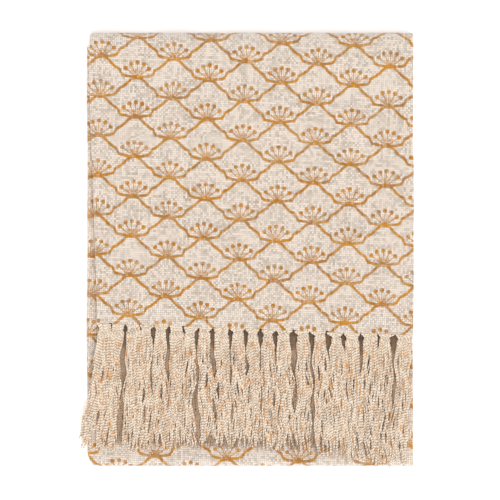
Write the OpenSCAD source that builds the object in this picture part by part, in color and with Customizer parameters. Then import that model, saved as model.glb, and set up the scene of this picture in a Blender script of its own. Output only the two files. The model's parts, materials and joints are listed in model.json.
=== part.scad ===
// Folded throw blanket with knotted fringes.
//
// The cloth is folded in four across its width, then in half end to end, and then its two fringed
// ends are folded over together on top. X runs across the packet, +Y points to the fold-over edge and
// +Z is up. The origin is the middle of the packet, on the surface it lies on.

/* [Cloth] */
// Width of the cloth, from one side hem to the other
throw_w = 1300; // [1000:10:1600]
// Length of the folded packet, from the half fold to the fold-over edge
packet_l = 430; // [350:2:550]
// How far the fringed ends reach back from the fold-over edge, at their left side
flap_reach = 290; // [220:2:330]
// Thickness of one layer of cloth as it lies in the stack
ply_t = 1.4; // [1:0.05:2.5]
// Width of the sewn side hems
hem_w = 10; // [5:1:20]

/* [Folding] */
// Air between two layers that lie on each other
ply_gap = 0.35; // [0.3:0.01:0.8]
// How far the flap's panels stand back from the plane they turn in
turn_gap = 0.4; // [0.3:0.05:1]
// How far the flap's left side stands in from the packet's left side
flap_inset = 5.5; // [0:0.5:20]
// Skew of the fringed ends, in degrees
edge_skew = 2.2; // [0:0.1:4]
// How far the side hems stand in from the packet's right side
hem_inset = 1; // [0:0.5:5]

/* [Fringe] */
// Length of a tassel, from the cloth to its tip
fringe_l = 112; // [80:1:150]
// How much longer the outermost tassels are than the mean, and the middle ones shorter
fringe_wave = 6; // [0:0.5:10]
// Distance from the flap's left side to the first tassel
fringe_in_left = 14; // [10:0.5:20]
// Distance from the flap's right side to the last tassel
fringe_in_right = 9; // [8:0.5:20]
// How far left of even spacing the tassels in the middle have been pushed
fringe_drift = 9; // [0:0.5:12]
// Width of a knot
knot_w = 8.8; // [6:0.1:10]
// Height of a knot
knot_t = 4; // [3:0.1:6]
// Distance from the edge of the cloth to the middle of a knot
knot_reach = 5.2; // [5:0.1:10]
// Height of a top tassel's skirt of yarns
skirt_t = 2.4; // [1:0.1:4]
// Width of a tassel's neck below its knot
neck_w = 6.4; // [3:0.1:8]
// Distance between the skirts of two tassels side by side
skirt_gap = 0.7; // [0.5:0.1:3]
// Distance from the cloth at which a skirt has spread to its full width
spread_reach = 45; // [20:1:60]
// How far the first tassel leans out to the left, in degrees
lean_left = 3.5; // [0:0.5:5]
// Distance between the edge of the cloth and the tassels that swing from it
tassel_gap = 0.35; // [0.3:0.05:1]
// How much closer two rows of fringe lie at their tips than at their knots
row_settle = 0.2; // [0:0.05:0.3]
// Air between two rows of fringe
row_gap = 0.1; // [0.05:0.05:0.3]

/* [Care label] */
// Length of the label along the hem
label_l = 40; // [20:1:80]
// Width of the label
label_w = 25; // [15:1:50]
// Distance from the half fold's outer edge to the label
label_from_fold = 60; // [30:1:120]

/* [Hidden] */
$fn = 48;

ecru = "#e6ddd3";
cream = "#ead9c0";
ochre_cream = "#e0cba8";
label_white = "#f4f2ee";

// One fold across the width makes two layers, and the second makes four
layers = 4;
ply_pitch = ply_t + ply_gap;
pack_t = layers * ply_t + (layers - 1) * ply_gap;
pack_pitch = pack_t + ply_gap;
packet_w = throw_w / layers;
stack_t = 4 * pack_t + 3 * ply_gap;
side_r = pack_t / 2;
tight_r = ply_t + ply_gap / 2;

// Heights of the four packs, from the lowest
lower_z = 0;
middle_z = pack_pitch;
inner_z = 2 * pack_pitch;
outer_z = 3 * pack_pitch;

// The half fold turns the lower pack into the middle one. The flap turns about the line between them
// and the two packs that lie on top.
half_r = pack_t + ply_gap / 2;
turn_r = 2 * pack_t + 1.5 * ply_gap;
half_y = half_r - packet_l / 2;
turn_y = packet_l / 2 - turn_r;

// Sides of the packet and of the flap
left_x = -packet_w / 2;
right_x = packet_w / 2;
flap_left_x = left_x + flap_inset;
flap_w = right_x - flap_left_x;

// The skewed edge that the fringe hangs from, measured from its left end
edge_y = packet_l / 2 - flap_reach;
edge_l = flap_w / cos(edge_skew);
edge_drop = flap_w * tan(edge_skew);
cutter = 80;

// The fringe: twenty knots across, and rows that share the height below the top row
tassels = 20;
rows_below = 7;
tassel_pitch = (edge_l - fringe_in_left - fringe_in_right) / (tassels - 1);
row_pitch = (stack_t - knot_t - inner_z) / (rows_below + 0.3);
row_t = row_pitch - row_settle - row_gap;
tip_rounding = 4;
// How quickly the lean fades from one tassel to the next
lean_fade = 0.7;

// Distance along the edge to a tassel in the top row, and the room between it and the next one. A
// number halfway between two tassels gives the place and the room of the hidden tassel between them.
function along(number) =
    fringe_in_left + (number - 1) * tassel_pitch - fringe_drift * sin(180 * (number - 1) / (tassels - 1));
function room(number) = min(along(number + 1) - along(number), along(number) - along(number - 1));

// Half of a ring of cloth, from bottom to top, round the left (side = -1) or the right (side = 1)
module bend(outer_r, side) {
    intersection() {
        difference() {
            circle(r = outer_r);
            circle(r = outer_r - ply_t);
        }
        translate([side < 0 ? -outer_r : 0, -outer_r])
            square([outer_r, 2 * outer_r]);
    }
}

// Cross-section of the four layers between x = x0 and x = x1. The first layer, at the bottom, is on the
// side that shows. Two bends nest on the left. On the right, one tight bend joins the first two layers,
// and the other two end in hems, which take up hemmed of their width.
module four_layers(x0, x1, hemmed) {
    for (i = [0 : layers - 1]) {
        stop = i < 2 ? x1 - tight_r : x1 - hem_inset - hemmed;
        translate([x0 + side_r, i * ply_pitch])
            square([stop - x0 - side_r, ply_t]);
    }
    translate([x0 + side_r, side_r]) {
        bend(side_r, -1);
        bend(tight_r, -1);
    }
    translate([x1 - tight_r, tight_r])
        bend(tight_r, 1);
}

// Cross-section of the two hems that go with it
module two_hems(x1) {
    for (i = [2, 3])
        translate([x1 - hem_inset - hem_w, i * ply_pitch])
            square([hem_w, ply_t]);
}

// Runs a cross-section from y = y0 to y = y1, with its first layer at the bottom or on top
module run_along(y0, y1, z, first_on_top) {
    translate([0, y1, z])
        rotate([90, 0, 0])
            linear_extrude(height = y1 - y0)
                translate([0, first_on_top ? pack_t : 0])
                    mirror([0, first_on_top ? 1 : 0])
                        children();
}

// Lays the axis of a ring along X. Its half of a turn goes from low to high, by way of -Y or +Y.
module lay_ring(y, z, toward) {
    translate([0, y, z])
        rotate([-90 * toward, 0, 0])
            rotate([90, 0, 90])
                rotate_extrude(angle = 180)
                    children();
}

// Cuts a panel off along the skewed edge
module cut_at_edge() {
    difference() {
        children();
        translate([flap_left_x, edge_y, 0])
            rotate([0, 0, -edge_skew])
                translate([-cutter / 2, -cutter, -1])
                    cube([edge_l + cutter, cutter, stack_t + 2]);
    }
}

// Places something at a distance s along the skewed edge, at height z
module on_edge(s, z) {
    translate([flap_left_x, edge_y, z])
        rotate([0, 0, -edge_skew])
            translate([s, 0, 0])
                children();
}

module lower_panel() {
    color(ecru)
        run_along(half_y, turn_y, lower_z, false)
            four_layers(left_x, right_x, hem_w);
}

module middle_panel() {
    color(ecru)
        run_along(half_y, turn_y, middle_z, true)
            four_layers(left_x, right_x, hem_w);
}

module half_fold() {
    color(ecru)
        lay_ring(half_y, half_r, -1)
            translate([half_r, 0])
                rotate(90)
                    four_layers(left_x, right_x, 0);
}

module inner_flap() {
    color(ecru)
        cut_at_edge()
            run_along(edge_y - edge_drop - 1, turn_y - turn_gap, inner_z, false)
                four_layers(flap_left_x, right_x, hem_w);
}

module outer_flap() {
    color(ecru)
        cut_at_edge()
            run_along(edge_y - edge_drop - 1, turn_y - turn_gap, outer_z, true)
                four_layers(flap_left_x, right_x, hem_w);
}

module inner_turn() {
    color(ecru)
        lay_ring(turn_y, turn_r, 1)
            translate([ply_gap / 2, 0])
                mirror([1, 0])
                    rotate(90)
                        four_layers(flap_left_x, right_x, 0);
}

module outer_turn() {
    color(ecru)
        lay_ring(turn_y, turn_r, 1)
            translate([turn_r, 0])
                rotate(90)
                    four_layers(flap_left_x, right_x, 0);
}

module lower_hems() {
    color(ecru)
        run_along(half_y, turn_y, lower_z, false)
            two_hems(right_x);
}

module middle_hems() {
    color(ecru)
        run_along(half_y, turn_y, middle_z, true)
            two_hems(right_x);
}

module inner_flap_hems() {
    color(ecru)
        cut_at_edge()
            run_along(edge_y - edge_drop - 1, turn_y - turn_gap, inner_z, false)
                two_hems(right_x);
}

module outer_flap_hems() {
    color(ecru)
        cut_at_edge()
            run_along(edge_y - edge_drop - 1, turn_y - turn_gap, outer_z, true)
                two_hems(right_x);
}

// A blank label, held between the two hemmed layers of the lower panel
module care_label() {
    color(label_white)
        translate([right_x - hem_inset - label_w, label_from_fold - packet_l / 2, 3 * ply_pitch - ply_gap])
            cube([label_w, label_l, ply_gap]);
}

// Outline of a tassel's skirt, from y = -start to y = -length
module skirt_outline(width, start, length) {
    half = width / 2;
    polygon([
        [-neck_w / 2, -start], [-neck_w / 2, -knot_reach - knot_w / 2], [-half, -spread_reach],
        [-half, tip_rounding - length], [tip_rounding - half, -length],
        [half - tip_rounding, -length], [half, tip_rounding - length],
        [half, -spread_reach], [neck_w / 2, -knot_reach - knot_w / 2], [neck_w / 2, -start]
    ]);
}

// A knot as a flat bead with a round edge
module knot(width, height) {
    rotate_extrude()
        union() {
            square([(width - height) / 2, height]);
            translate([(width - height) / 2, height / 2])
                intersection() {
                    circle(d = height);
                    translate([0, -height / 2])
                        square([height / 2, height]);
                }
        }
}

// One of the tassels in the top row, which swings from the top of the cloth's edge
module tassel(number) {
    length = fringe_l + fringe_wave * cos(360 * (number - 1) / (tassels - 1));
    lean = lean_left * pow(lean_fade, number - 1);
    slope = atan(rows_below * row_settle / fringe_l);
    color(cream)
        on_edge(along(number), stack_t - knot_t)
            rotate([0, 0, -lean])
                translate([0, -tassel_gap, 0]) {
                    translate([0, -knot_reach, 0])
                        knot(knot_w, knot_t);
                    rotate([slope, 0, 0])
                        linear_extrude(height = skirt_t)
                            skirt_outline(room(number) - skirt_gap, knot_w / 2, length);
                }
}

// A row of hidden tassels, one in each gap of the top row. Row 0 lies on the packet's base.
module fringe_row(row) {
    slope = atan(row * row_settle / fringe_l);
    color(ochre_cream)
        for (i = [1 : tassels - 1])
            on_edge(along(i + 0.5), inner_z + row * row_pitch)
                rotate([slope, 0, 0])
                    linear_extrude(height = row_t) {
                        translate([0, -knot_reach])
                            circle(d = knot_w);
                        skirt_outline(room(i + 0.5) - skirt_gap, 0, fringe_l);
                    }
}

lower_panel();
middle_panel();
half_fold();
inner_flap();
outer_flap();
inner_turn();
outer_turn();
lower_hems();
middle_hems();
inner_flap_hems();
outer_flap_hems();
care_label();
fringe_row(0);  // inner_fringe_1
fringe_row(1);  // inner_fringe_2
fringe_row(2);  // inner_fringe_3
fringe_row(3);  // inner_fringe_4
fringe_row(4);  // outer_fringe_4
fringe_row(5);  // outer_fringe_3
fringe_row(6);  // outer_fringe_2
tassel(1);  // tassel_01
tassel(2);  // tassel_02
tassel(3);  // tassel_03
tassel(4);  // tassel_04
tassel(5);  // tassel_05
tassel(6);  // tassel_06
tassel(7);  // tassel_07
tassel(8);  // tassel_08
tassel(9);  // tassel_09
tassel(10);  // tassel_10
tassel(11);  // tassel_11
tassel(12);  // tassel_12
tassel(13);  // tassel_13
tassel(14);  // tassel_14
tassel(15);  // tassel_15
tassel(16);  // tassel_16
tassel(17);  // tassel_17
tassel(18);  // tassel_18
tassel(19);  // tassel_19
tassel(20);  // tassel_20
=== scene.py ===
"""Folded throw blanket: printed plain-weave cloth with knotted fringes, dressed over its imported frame.

The cloth is folded in four across its width, then in half end to end, and its two fringed ends are folded
over together on top. Lengths are metres unless a name ends in _mm, and every place is worked out from the
frame. X runs across the packet, +Y points to the fold-over edge and +Z is up.
"""

import json
import logging
import math
from dataclasses import dataclass, field, replace
from enum import Enum

import bpy
import numpy as np
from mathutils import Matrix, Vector


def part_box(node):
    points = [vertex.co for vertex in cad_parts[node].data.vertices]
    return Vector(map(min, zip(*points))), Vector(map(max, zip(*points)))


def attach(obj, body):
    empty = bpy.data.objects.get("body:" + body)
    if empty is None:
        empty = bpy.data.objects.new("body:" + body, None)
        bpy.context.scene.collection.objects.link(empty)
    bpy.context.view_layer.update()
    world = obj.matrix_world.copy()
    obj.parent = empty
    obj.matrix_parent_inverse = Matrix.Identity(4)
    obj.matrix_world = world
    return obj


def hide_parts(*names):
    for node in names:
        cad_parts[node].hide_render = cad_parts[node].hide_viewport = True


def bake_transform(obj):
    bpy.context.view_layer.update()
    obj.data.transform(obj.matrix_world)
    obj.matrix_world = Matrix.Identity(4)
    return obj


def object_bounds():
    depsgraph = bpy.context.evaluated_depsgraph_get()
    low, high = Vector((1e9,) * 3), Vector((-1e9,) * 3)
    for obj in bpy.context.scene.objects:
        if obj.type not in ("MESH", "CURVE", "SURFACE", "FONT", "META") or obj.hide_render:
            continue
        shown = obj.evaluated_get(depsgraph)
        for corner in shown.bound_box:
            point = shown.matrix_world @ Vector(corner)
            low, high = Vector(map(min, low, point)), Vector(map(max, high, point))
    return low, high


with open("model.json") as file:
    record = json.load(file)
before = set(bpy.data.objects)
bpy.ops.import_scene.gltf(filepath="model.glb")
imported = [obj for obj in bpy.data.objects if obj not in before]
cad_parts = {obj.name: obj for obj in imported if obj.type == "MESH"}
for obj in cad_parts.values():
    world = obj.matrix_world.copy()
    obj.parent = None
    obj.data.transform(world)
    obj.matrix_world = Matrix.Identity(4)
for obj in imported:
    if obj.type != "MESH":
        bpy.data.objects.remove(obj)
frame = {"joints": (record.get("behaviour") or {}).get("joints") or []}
cad_low, cad_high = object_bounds()

MM = 0.001
Colour = tuple[float, float, float, float]
Span = tuple[float, float]
CLOTH_MAP = "thread_lines"
YARN_MAP = "along_yarn"

log = logging.getLogger("throw")


class MixSocket(Enum):
    """The colour sockets of Blender's mix node, by number."""

    SHARE = 0
    FIRST = 6
    SECOND = 7
    RESULT = 2


class Side(Enum):
    """The two sides of the cloth, as material slots on its mesh."""

    PRINTED = 0
    REVERSE = 1


class Layer(Enum):
    """The four layers of a quartered pack, by their height above its middle in layer pitches."""

    OUTSIDE = 1.5
    SECOND = 0.5
    THIRD = -0.5
    INSIDE = -1.5


# ---------------------------------------------------------------------------------------------------------
# Small helpers
# ---------------------------------------------------------------------------------------------------------


def smooth_step(value: np.ndarray) -> np.ndarray:
    """Ease from 0 to 1 as value goes from 0 to 1.

    Args:
        value: any numbers.

    Returns:
        The eased numbers, held between 0 and 1.
    """
    held = np.clip(value, 0.0, 1.0)
    return held * held * (3.0 - 2.0 * held)


def corner_inset(distance: np.ndarray, radius: float) -> np.ndarray:
    """How far a side stands in near a rounded corner.

    Args:
        distance: distance from the end that the corner belongs to.
        radius: radius of the corner.

    Returns:
        The inset at each distance, 0 beyond the radius.
    """
    into = np.clip(radius - distance, 0.0, radius)
    return radius - np.sqrt(np.maximum(radius**2 - into**2, 0.0))


def unit(vectors: np.ndarray) -> np.ndarray:
    """Vectors of length one in the same directions.

    Args:
        vectors: array whose last axis holds x, y and z.

    Returns:
        The unit vectors.
    """
    length = np.linalg.norm(vectors, axis=-1, keepdims=True)
    return vectors / np.maximum(length, 1e-12)


def build_mesh(
    name: str,
    points: np.ndarray,
    faces: list[np.ndarray],
    uv: np.ndarray,
    uv_name: str,
    finishes: list[bpy.types.Material],
    slots: np.ndarray | None = None,
    crease_deg: float = 50.0,
) -> bpy.types.Object:
    """Make a mesh object out of arrays.

    Args:
        name: the piece's name.
        points: (n, 3) vertices.
        faces: arrays of (m, k) vertex numbers, one for each number of corners k.
        uv: (n, 2) surface coordinates, one for each vertex.
        uv_name: name of the map that they go to.
        finishes: materials, in slot order.
        slots: material slot of each face, in the order of faces.
        crease_deg: edges sharper than this stay sharp.

    Returns:
        The new object, linked to the scene.
    """
    corners = np.concatenate([f.ravel() for f in faces]).astype(np.int32)
    counts = np.concatenate([np.full(len(f), f.shape[1]) for f in faces]).astype(np.int32)
    starts = np.concatenate([[0], np.cumsum(counts)[:-1]]).astype(np.int32)
    mesh = bpy.data.meshes.new(name)
    mesh.vertices.add(len(points))
    mesh.vertices.foreach_set("co", points.astype(np.float32).ravel())
    mesh.loops.add(len(corners))
    mesh.loops.foreach_set("vertex_index", corners)
    mesh.polygons.add(len(counts))
    mesh.polygons.foreach_set("loop_start", starts)
    mesh.polygons.foreach_set("loop_total", counts)
    if slots is not None:
        mesh.polygons.foreach_set("material_index", slots.astype(np.int32))
    mesh.update(calc_edges=True)
    mesh.uv_layers.new(name=uv_name).data.foreach_set("uv", uv[corners].astype(np.float32).ravel())
    for finish in finishes:
        mesh.materials.append(finish)
    mesh.validate()
    mesh.polygons.foreach_set("use_smooth", np.ones(len(mesh.polygons), bool))
    mesh.set_sharp_from_angle(angle=math.radians(crease_deg))
    piece = bpy.data.objects.new(name, mesh)
    bpy.context.scene.collection.objects.link(piece)
    return piece


def grid_faces(rows: int, columns: int, first: int = 0) -> np.ndarray:
    """Quads of a grid of vertices, numbered row by row.

    Args:
        rows: number of rows.
        columns: number of columns.
        first: number of the first vertex.

    Returns:
        (m, 4) vertex numbers.
    """
    r, c = np.meshgrid(np.arange(rows - 1), np.arange(columns - 1), indexing="ij")
    corner = (first + r * columns + c).ravel()
    return np.stack([corner, corner + 1, corner + columns + 1, corner + columns], axis=1)


@dataclass
class Wander:
    """A smooth random wave along a yarn or an edge: a few sines of random phase.

    Args:
        rng: the random numbers that it draws from.
        count: how many waves run side by side.
        longest: longest wavelength.
        shortest: shortest wavelength.
        terms: how many sines are added.
    """

    rng: np.random.Generator
    count: int
    longest: float
    shortest: float
    terms: int = 3

    def __post_init__(self) -> None:
        """Draw the phases and wavelengths."""
        shape = (self.count, self.terms)
        self.phase = self.rng.uniform(0.0, 2.0 * math.pi, shape)
        self.wavelength = self.rng.uniform(self.shortest, self.longest, shape)

    def at(self, along: np.ndarray) -> np.ndarray:
        """The waves at distances along.

        Args:
            along: (k,) distances.

        Returns:
            (count, k) heights, about -1 to 1.
        """
        turns = 2.0 * math.pi * along[None, None, :] / self.wavelength[:, :, None]
        return np.sin(turns + self.phase[:, :, None]).sum(axis=1) / math.sqrt(self.terms)


# ---------------------------------------------------------------------------------------------------------
# Finishes
# ---------------------------------------------------------------------------------------------------------


class Recipe:
    """A material under construction, with short calls for the nodes that it is made of."""

    def __init__(self, name: str) -> None:
        """Start an empty material.

        Args:
            name: the material's name.
        """
        self.material = bpy.data.materials.new(name)
        self.material.use_nodes = True
        self.tree = self.material.node_tree
        self.tree.nodes.clear()
        self.shader = self.tree.nodes.new("ShaderNodeBsdfPrincipled")
        output = self.tree.nodes.new("ShaderNodeOutputMaterial")
        self.tree.links.new(self.shader.outputs["BSDF"], output.inputs["Surface"])

    def feed(self, socket: bpy.types.NodeSocket, value: object) -> None:
        """Link a socket to another one, or set it to a number or colour.

        Args:
            socket: the input to fill.
            value: an output socket, a number or a tuple.
        """
        if isinstance(value, bpy.types.NodeSocket):
            self.tree.links.new(value, socket)
        else:
            socket.default_value = value

    def math(self, operation: str, *values: object, hold: bool = False) -> bpy.types.NodeSocket:
        """One step of arithmetic.

        Args:
            operation: Blender's name for it.
            values: its one to three inputs.
            hold: whether the result is held between 0 and 1.

        Returns:
            The result's socket.
        """
        node = self.tree.nodes.new("ShaderNodeMath")
        node.operation = operation
        node.use_clamp = hold
        for socket, value in zip(node.inputs, values):
            self.feed(socket, value)
        return node.outputs[0]

    def map_lines(self, name: str) -> tuple[bpy.types.NodeSocket, bpy.types.NodeSocket]:
        """The two coordinates of one of the mesh's maps.

        Args:
            name: the map's name.

        Returns:
            The sockets of u and v.
        """
        pin = self.tree.nodes.new("ShaderNodeUVMap")
        pin.uv_map = name
        split = self.tree.nodes.new("ShaderNodeSeparateXYZ")
        self.tree.links.new(pin.outputs[0], split.inputs[0])
        return split.outputs[0], split.outputs[1]

    def point(self, x: object, y: object, z: object = 0.0) -> bpy.types.NodeSocket:
        """A point made of three numbers.

        Args:
            x: first coordinate.
            y: second coordinate.
            z: third coordinate.

        Returns:
            The point's socket.
        """
        node = self.tree.nodes.new("ShaderNodeCombineXYZ")
        for socket, value in zip(node.inputs, (x, y, z)):
            self.feed(socket, value)
        return node.outputs[0]

    def noise(self, where: object, scale: float, detail: float = 2.0) -> bpy.types.NodeSocket:
        """Soft noise around one half.

        Args:
            where: the point's socket.
            scale: blotches for each unit of length.
            detail: how much fine noise is added.

        Returns:
            The noise's socket.
        """
        node = self.tree.nodes.new("ShaderNodeTexNoise")
        self.feed(node.inputs["Vector"], where)
        node.inputs["Scale"].default_value = scale
        node.inputs["Detail"].default_value = detail
        return node.outputs[0]

    def speckle(self, where: object) -> bpy.types.NodeSocket:
        """A random number that changes from each whole number of where to the next.

        Args:
            where: the point's socket.

        Returns:
            The random number's socket.
        """
        node = self.tree.nodes.new("ShaderNodeTexWhiteNoise")
        node.noise_dimensions = "2D"
        self.feed(node.inputs["Vector"], where)
        return node.outputs["Value"]

    def ease(
        self, value: object, low: float, high: float, start: float = 0.0, end: float = 1.0
    ) -> bpy.types.NodeSocket:
        """Go smoothly from start to end as value goes from low to high.

        Args:
            value: the socket that decides.
            low: value at which the result is still start.
            high: value at which it has become end.
            start: result below low.
            end: result above high.

        Returns:
            The result's socket.
        """
        node = self.tree.nodes.new("ShaderNodeMapRange")
        node.interpolation_type = "SMOOTHSTEP"
        for socket, number in zip(node.inputs, (value, low, high, start, end)):
            self.feed(socket, number)
        return node.outputs[0]

    def blend(self, share: object, first: object, second: object) -> bpy.types.NodeSocket:
        """Mix two colours.

        Args:
            share: how much of the second one there is.
            first: a colour.
            second: a colour.

        Returns:
            The mixed colour's socket.
        """
        node = self.tree.nodes.new("ShaderNodeMix")
        node.data_type = "RGBA"
        self.feed(node.inputs[MixSocket.SHARE.value], share)
        self.feed(node.inputs[MixSocket.FIRST.value], first)
        self.feed(node.inputs[MixSocket.SECOND.value], second)
        return node.outputs[MixSocket.RESULT.value]

    def hypot(self, x: object, y: object) -> bpy.types.NodeSocket:
        """Length of the long side of a right triangle.

        Args:
            x: one short side.
            y: the other short side.

        Returns:
            The length's socket.
        """
        return self.math("SQRT", self.math("MULTIPLY_ADD", x, x, self.math("MULTIPLY", y, y)))

    def stretched(self, u: object, v: object, across: float, along: float) -> bpy.types.NodeSocket:
        """A point whose two coordinates are scaled, for streaks.

        Args:
            u: first coordinate.
            v: second coordinate.
            across: scale of the first.
            along: scale of the second.

        Returns:
            The point's socket.
        """
        return self.point(self.math("MULTIPLY", u, across), self.math("MULTIPLY", v, along))

    def curve(self, value: object, outline: tuple[tuple[float, float], ...]) -> bpy.types.NodeSocket:
        """Read a value off an outline.

        Args:
            value: the socket to look up, from 0 to 1.
            outline: the outline's points, from 0 to 1 each way.

        Returns:
            The socket of the height there.
        """
        node = self.tree.nodes.new("ShaderNodeFloatCurve")
        line = node.mapping.curves[0]
        while len(line.points) < len(outline):
            line.points.new(0.5, 0.5)
        for point, (x, y) in zip(line.points, outline):
            point.location = (x, y)
        node.mapping.update()
        self.feed(node.inputs["Value"], value)
        return node.outputs[0]

    def bump(self, height: object, depth: float) -> None:
        """Raise the surface by a height of 0 to 1.

        Args:
            height: the height's socket.
            depth: what a height of 1 stands for.
        """
        node = self.tree.nodes.new("ShaderNodeBump")
        node.inputs["Strength"].default_value = 1.0
        node.inputs["Distance"].default_value = depth
        self.feed(node.inputs["Height"], height)
        self.tree.links.new(node.outputs[0], self.shader.inputs["Normal"])


@dataclass(frozen=True)
class Print:
    """The print: rows of scalloped fans with a spray of dots in each.

    The fans' points lie on a lattice of a width and a row height, every other row half a width over.
    """

    across: float = 71.3 * MM
    along: float = 39.2 * MM
    line: float = 1.38 * MM
    soft: float = 0.35 * MM
    dot: float = 2.1 * MM
    dot_reach: float = 14.8 * MM
    stem: float = 0.5 * MM
    thin_stem: float = 0.3 * MM
    stem_start: float = 2.2 * MM
    heart: float = 2.7 * MM
    heart_lift: float = 1.1 * MM
    spray_deg: float = 25.75
    short_start: float = 4.5 * MM
    short_stem: float = 9.0 * MM
    outer_stem: float = 2.0
    outer_short: float = 1.5
    below_share: float = 0.25
    slope_step: float = 0.02
    scallop: tuple[tuple[float, float], ...] = (
        (0.0, 0.0),
        (0.10, 0.03),
        (0.18, 0.13),
        (0.26, 0.28),
        (0.375, 0.46),
        (0.50, 0.61),
        (0.545, 0.74),
        (0.60, 0.87),
        (0.72, 0.93),
        (0.86, 0.97),
        (1.0, 1.0),
    )

    def edge(self, r: Recipe, share: object, v: object, shift: float) -> bpy.types.NodeSocket:
        """Distance from the nearest scalloped edge of one family.

        Args:
            r: the material.
            share: place across half a fan, from 0 to 1.
            v: place along the cloth.
            shift: 0 or a half, the family's place between rows.

        Returns:
            The distance's socket.
        """
        drop = r.curve(share, self.scallop)
        ahead = r.curve(r.math("ADD", share, self.slope_step, hold=True), self.scallop)
        behind = r.curve(r.math("SUBTRACT", share, self.slope_step, hold=True), self.scallop)
        rise = r.math("DIVIDE", r.math("SUBTRACT", ahead, behind), 2.0 * self.slope_step)
        slope = r.math("MULTIPLY", rise, self.along / self.across)
        row = r.math("ADD", r.math("DIVIDE", v, self.along), r.math("MULTIPLY_ADD", drop, 0.5, shift))
        off = r.math("MULTIPLY", r.math("PINGPONG", row, 0.5), self.along)
        return r.math("DIVIDE", off, r.math("SQRT", r.math("MULTIPLY_ADD", slope, slope, 1.0)))

    def under(self, r: Recipe, distance: object, half: float) -> bpy.types.NodeSocket:
        """Ink where a distance is below half a width.

        Args:
            r: the material.
            distance: the distance's socket.
            half: half the width of the mark.

        Returns:
            The ink's socket, 0 to 1.
        """
        return r.ease(distance, half - self.soft / 2.0, half + self.soft / 2.0, 1.0, 0.0)

    def off_stem(
        self, r: Recipe, reach: object, angle: object, stem: object
    ) -> tuple[bpy.types.NodeSocket, bpy.types.NodeSocket]:
        """Place beside and along one stem of a spray.

        Args:
            r: the material.
            reach: distance from the spray's root.
            angle: direction from the root.
            stem: the stem's number, counted from the middle one.

        Returns:
            The sockets of the distances beside the stem and along it.
        """
        away = r.math("SUBTRACT", angle, r.math("MULTIPLY", stem, math.radians(self.spray_deg)))
        aside = r.math("ABSOLUTE", r.math("MULTIPLY", reach, r.math("SINE", away)))
        return aside, r.math("MULTIPLY", reach, r.math("COSINE", away))

    def spray(self, r: Recipe, u: object, v: object, shift: float) -> bpy.types.NodeSocket:
        """The sprays of dots on one family of lattice points.

        Args:
            r: the material.
            u: place across the cloth.
            v: place along the cloth.
            shift: 0 or a half, the family's place on the lattice.

        Returns:
            The ink's socket, 0 to 1.
        """
        column = r.math("ADD", r.math("DIVIDE", u, self.across), shift)
        row = r.math("ADD", r.math("DIVIDE", v, self.along), shift)
        du = r.math("MULTIPLY", r.math("SUBTRACT", column, r.math("ROUND", column)), self.across)
        floor = r.math("FLOOR", r.math("ADD", row, self.below_share))
        dv = r.math("MULTIPLY", r.math("SUBTRACT", row, floor), self.along)
        reach = r.hypot(du, dv)
        angle = r.math("ARCTAN2", du, dv)
        turn = r.math("DIVIDE", angle, math.radians(self.spray_deg))
        last = self.outer_stem
        nearest = r.math("MAXIMUM", r.math("MINIMUM", r.math("ROUND", turn), last), -last)
        aside, onward = self.off_stem(r, reach, angle, nearest)
        beyond = r.math("SUBTRACT", onward, self.dot_reach)
        dots = self.under(r, r.hypot(aside, beyond), self.dot)
        past_heart = r.math("GREATER_THAN", onward, self.stem_start)
        on_stem = r.math("MULTIPLY", past_heart, r.math("LESS_THAN", beyond, 0.0))
        stems = r.math("MULTIPLY", self.under(r, aside, self.stem), on_stem)
        half_turn = r.math("ADD", r.math("FLOOR", turn), 0.5)
        last = self.outer_short
        middle = r.math("MAXIMUM", r.math("MINIMUM", half_turn, last), -last)
        aside_short, ahead = self.off_stem(r, reach, angle, middle)
        forward = r.math("GREATER_THAN", ahead, self.short_start)
        near = r.math("MULTIPLY", forward, r.math("LESS_THAN", ahead, self.short_stem))
        short = r.math("MULTIPLY", self.under(r, aside_short, self.thin_stem), near)
        heart = self.under(r, r.hypot(du, r.math("SUBTRACT", dv, self.heart_lift)), self.heart)
        return r.math("MAXIMUM", r.math("MAXIMUM", dots, stems), r.math("MAXIMUM", short, heart))

    def ink(self, r: Recipe, u: object, v: object) -> bpy.types.NodeSocket:
        """All of the print.

        Args:
            r: the material.
            u: place across the cloth.
            v: place along the cloth.

        Returns:
            The ink's socket, 0 to 1.
        """
        half = self.across / 2.0
        share = r.math("PINGPONG", r.math("DIVIDE", u, half), 1.0)
        other = r.math("SUBTRACT", 1.0, share)
        edges = r.math("MINIMUM", self.edge(r, share, v, 0.0), self.edge(r, other, v, 0.5))
        sprays = r.math("MAXIMUM", self.spray(r, u, v, 0.0), self.spray(r, u, v, 0.5))
        return r.math("MAXIMUM", self.under(r, edges, self.line), sprays)


@dataclass(frozen=True)
class Weave:
    """The threads of a plain weave, as sockets that its colour and its relief are made from."""

    over: bpy.types.NodeSocket
    warp_top: bpy.types.NodeSocket
    weft_top: bpy.types.NodeSocket
    warp_no: bpy.types.NodeSocket
    weft_no: bpy.types.NodeSocket
    thread_tone: bpy.types.NodeSocket
    cell_tone: bpy.types.NodeSocket


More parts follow.
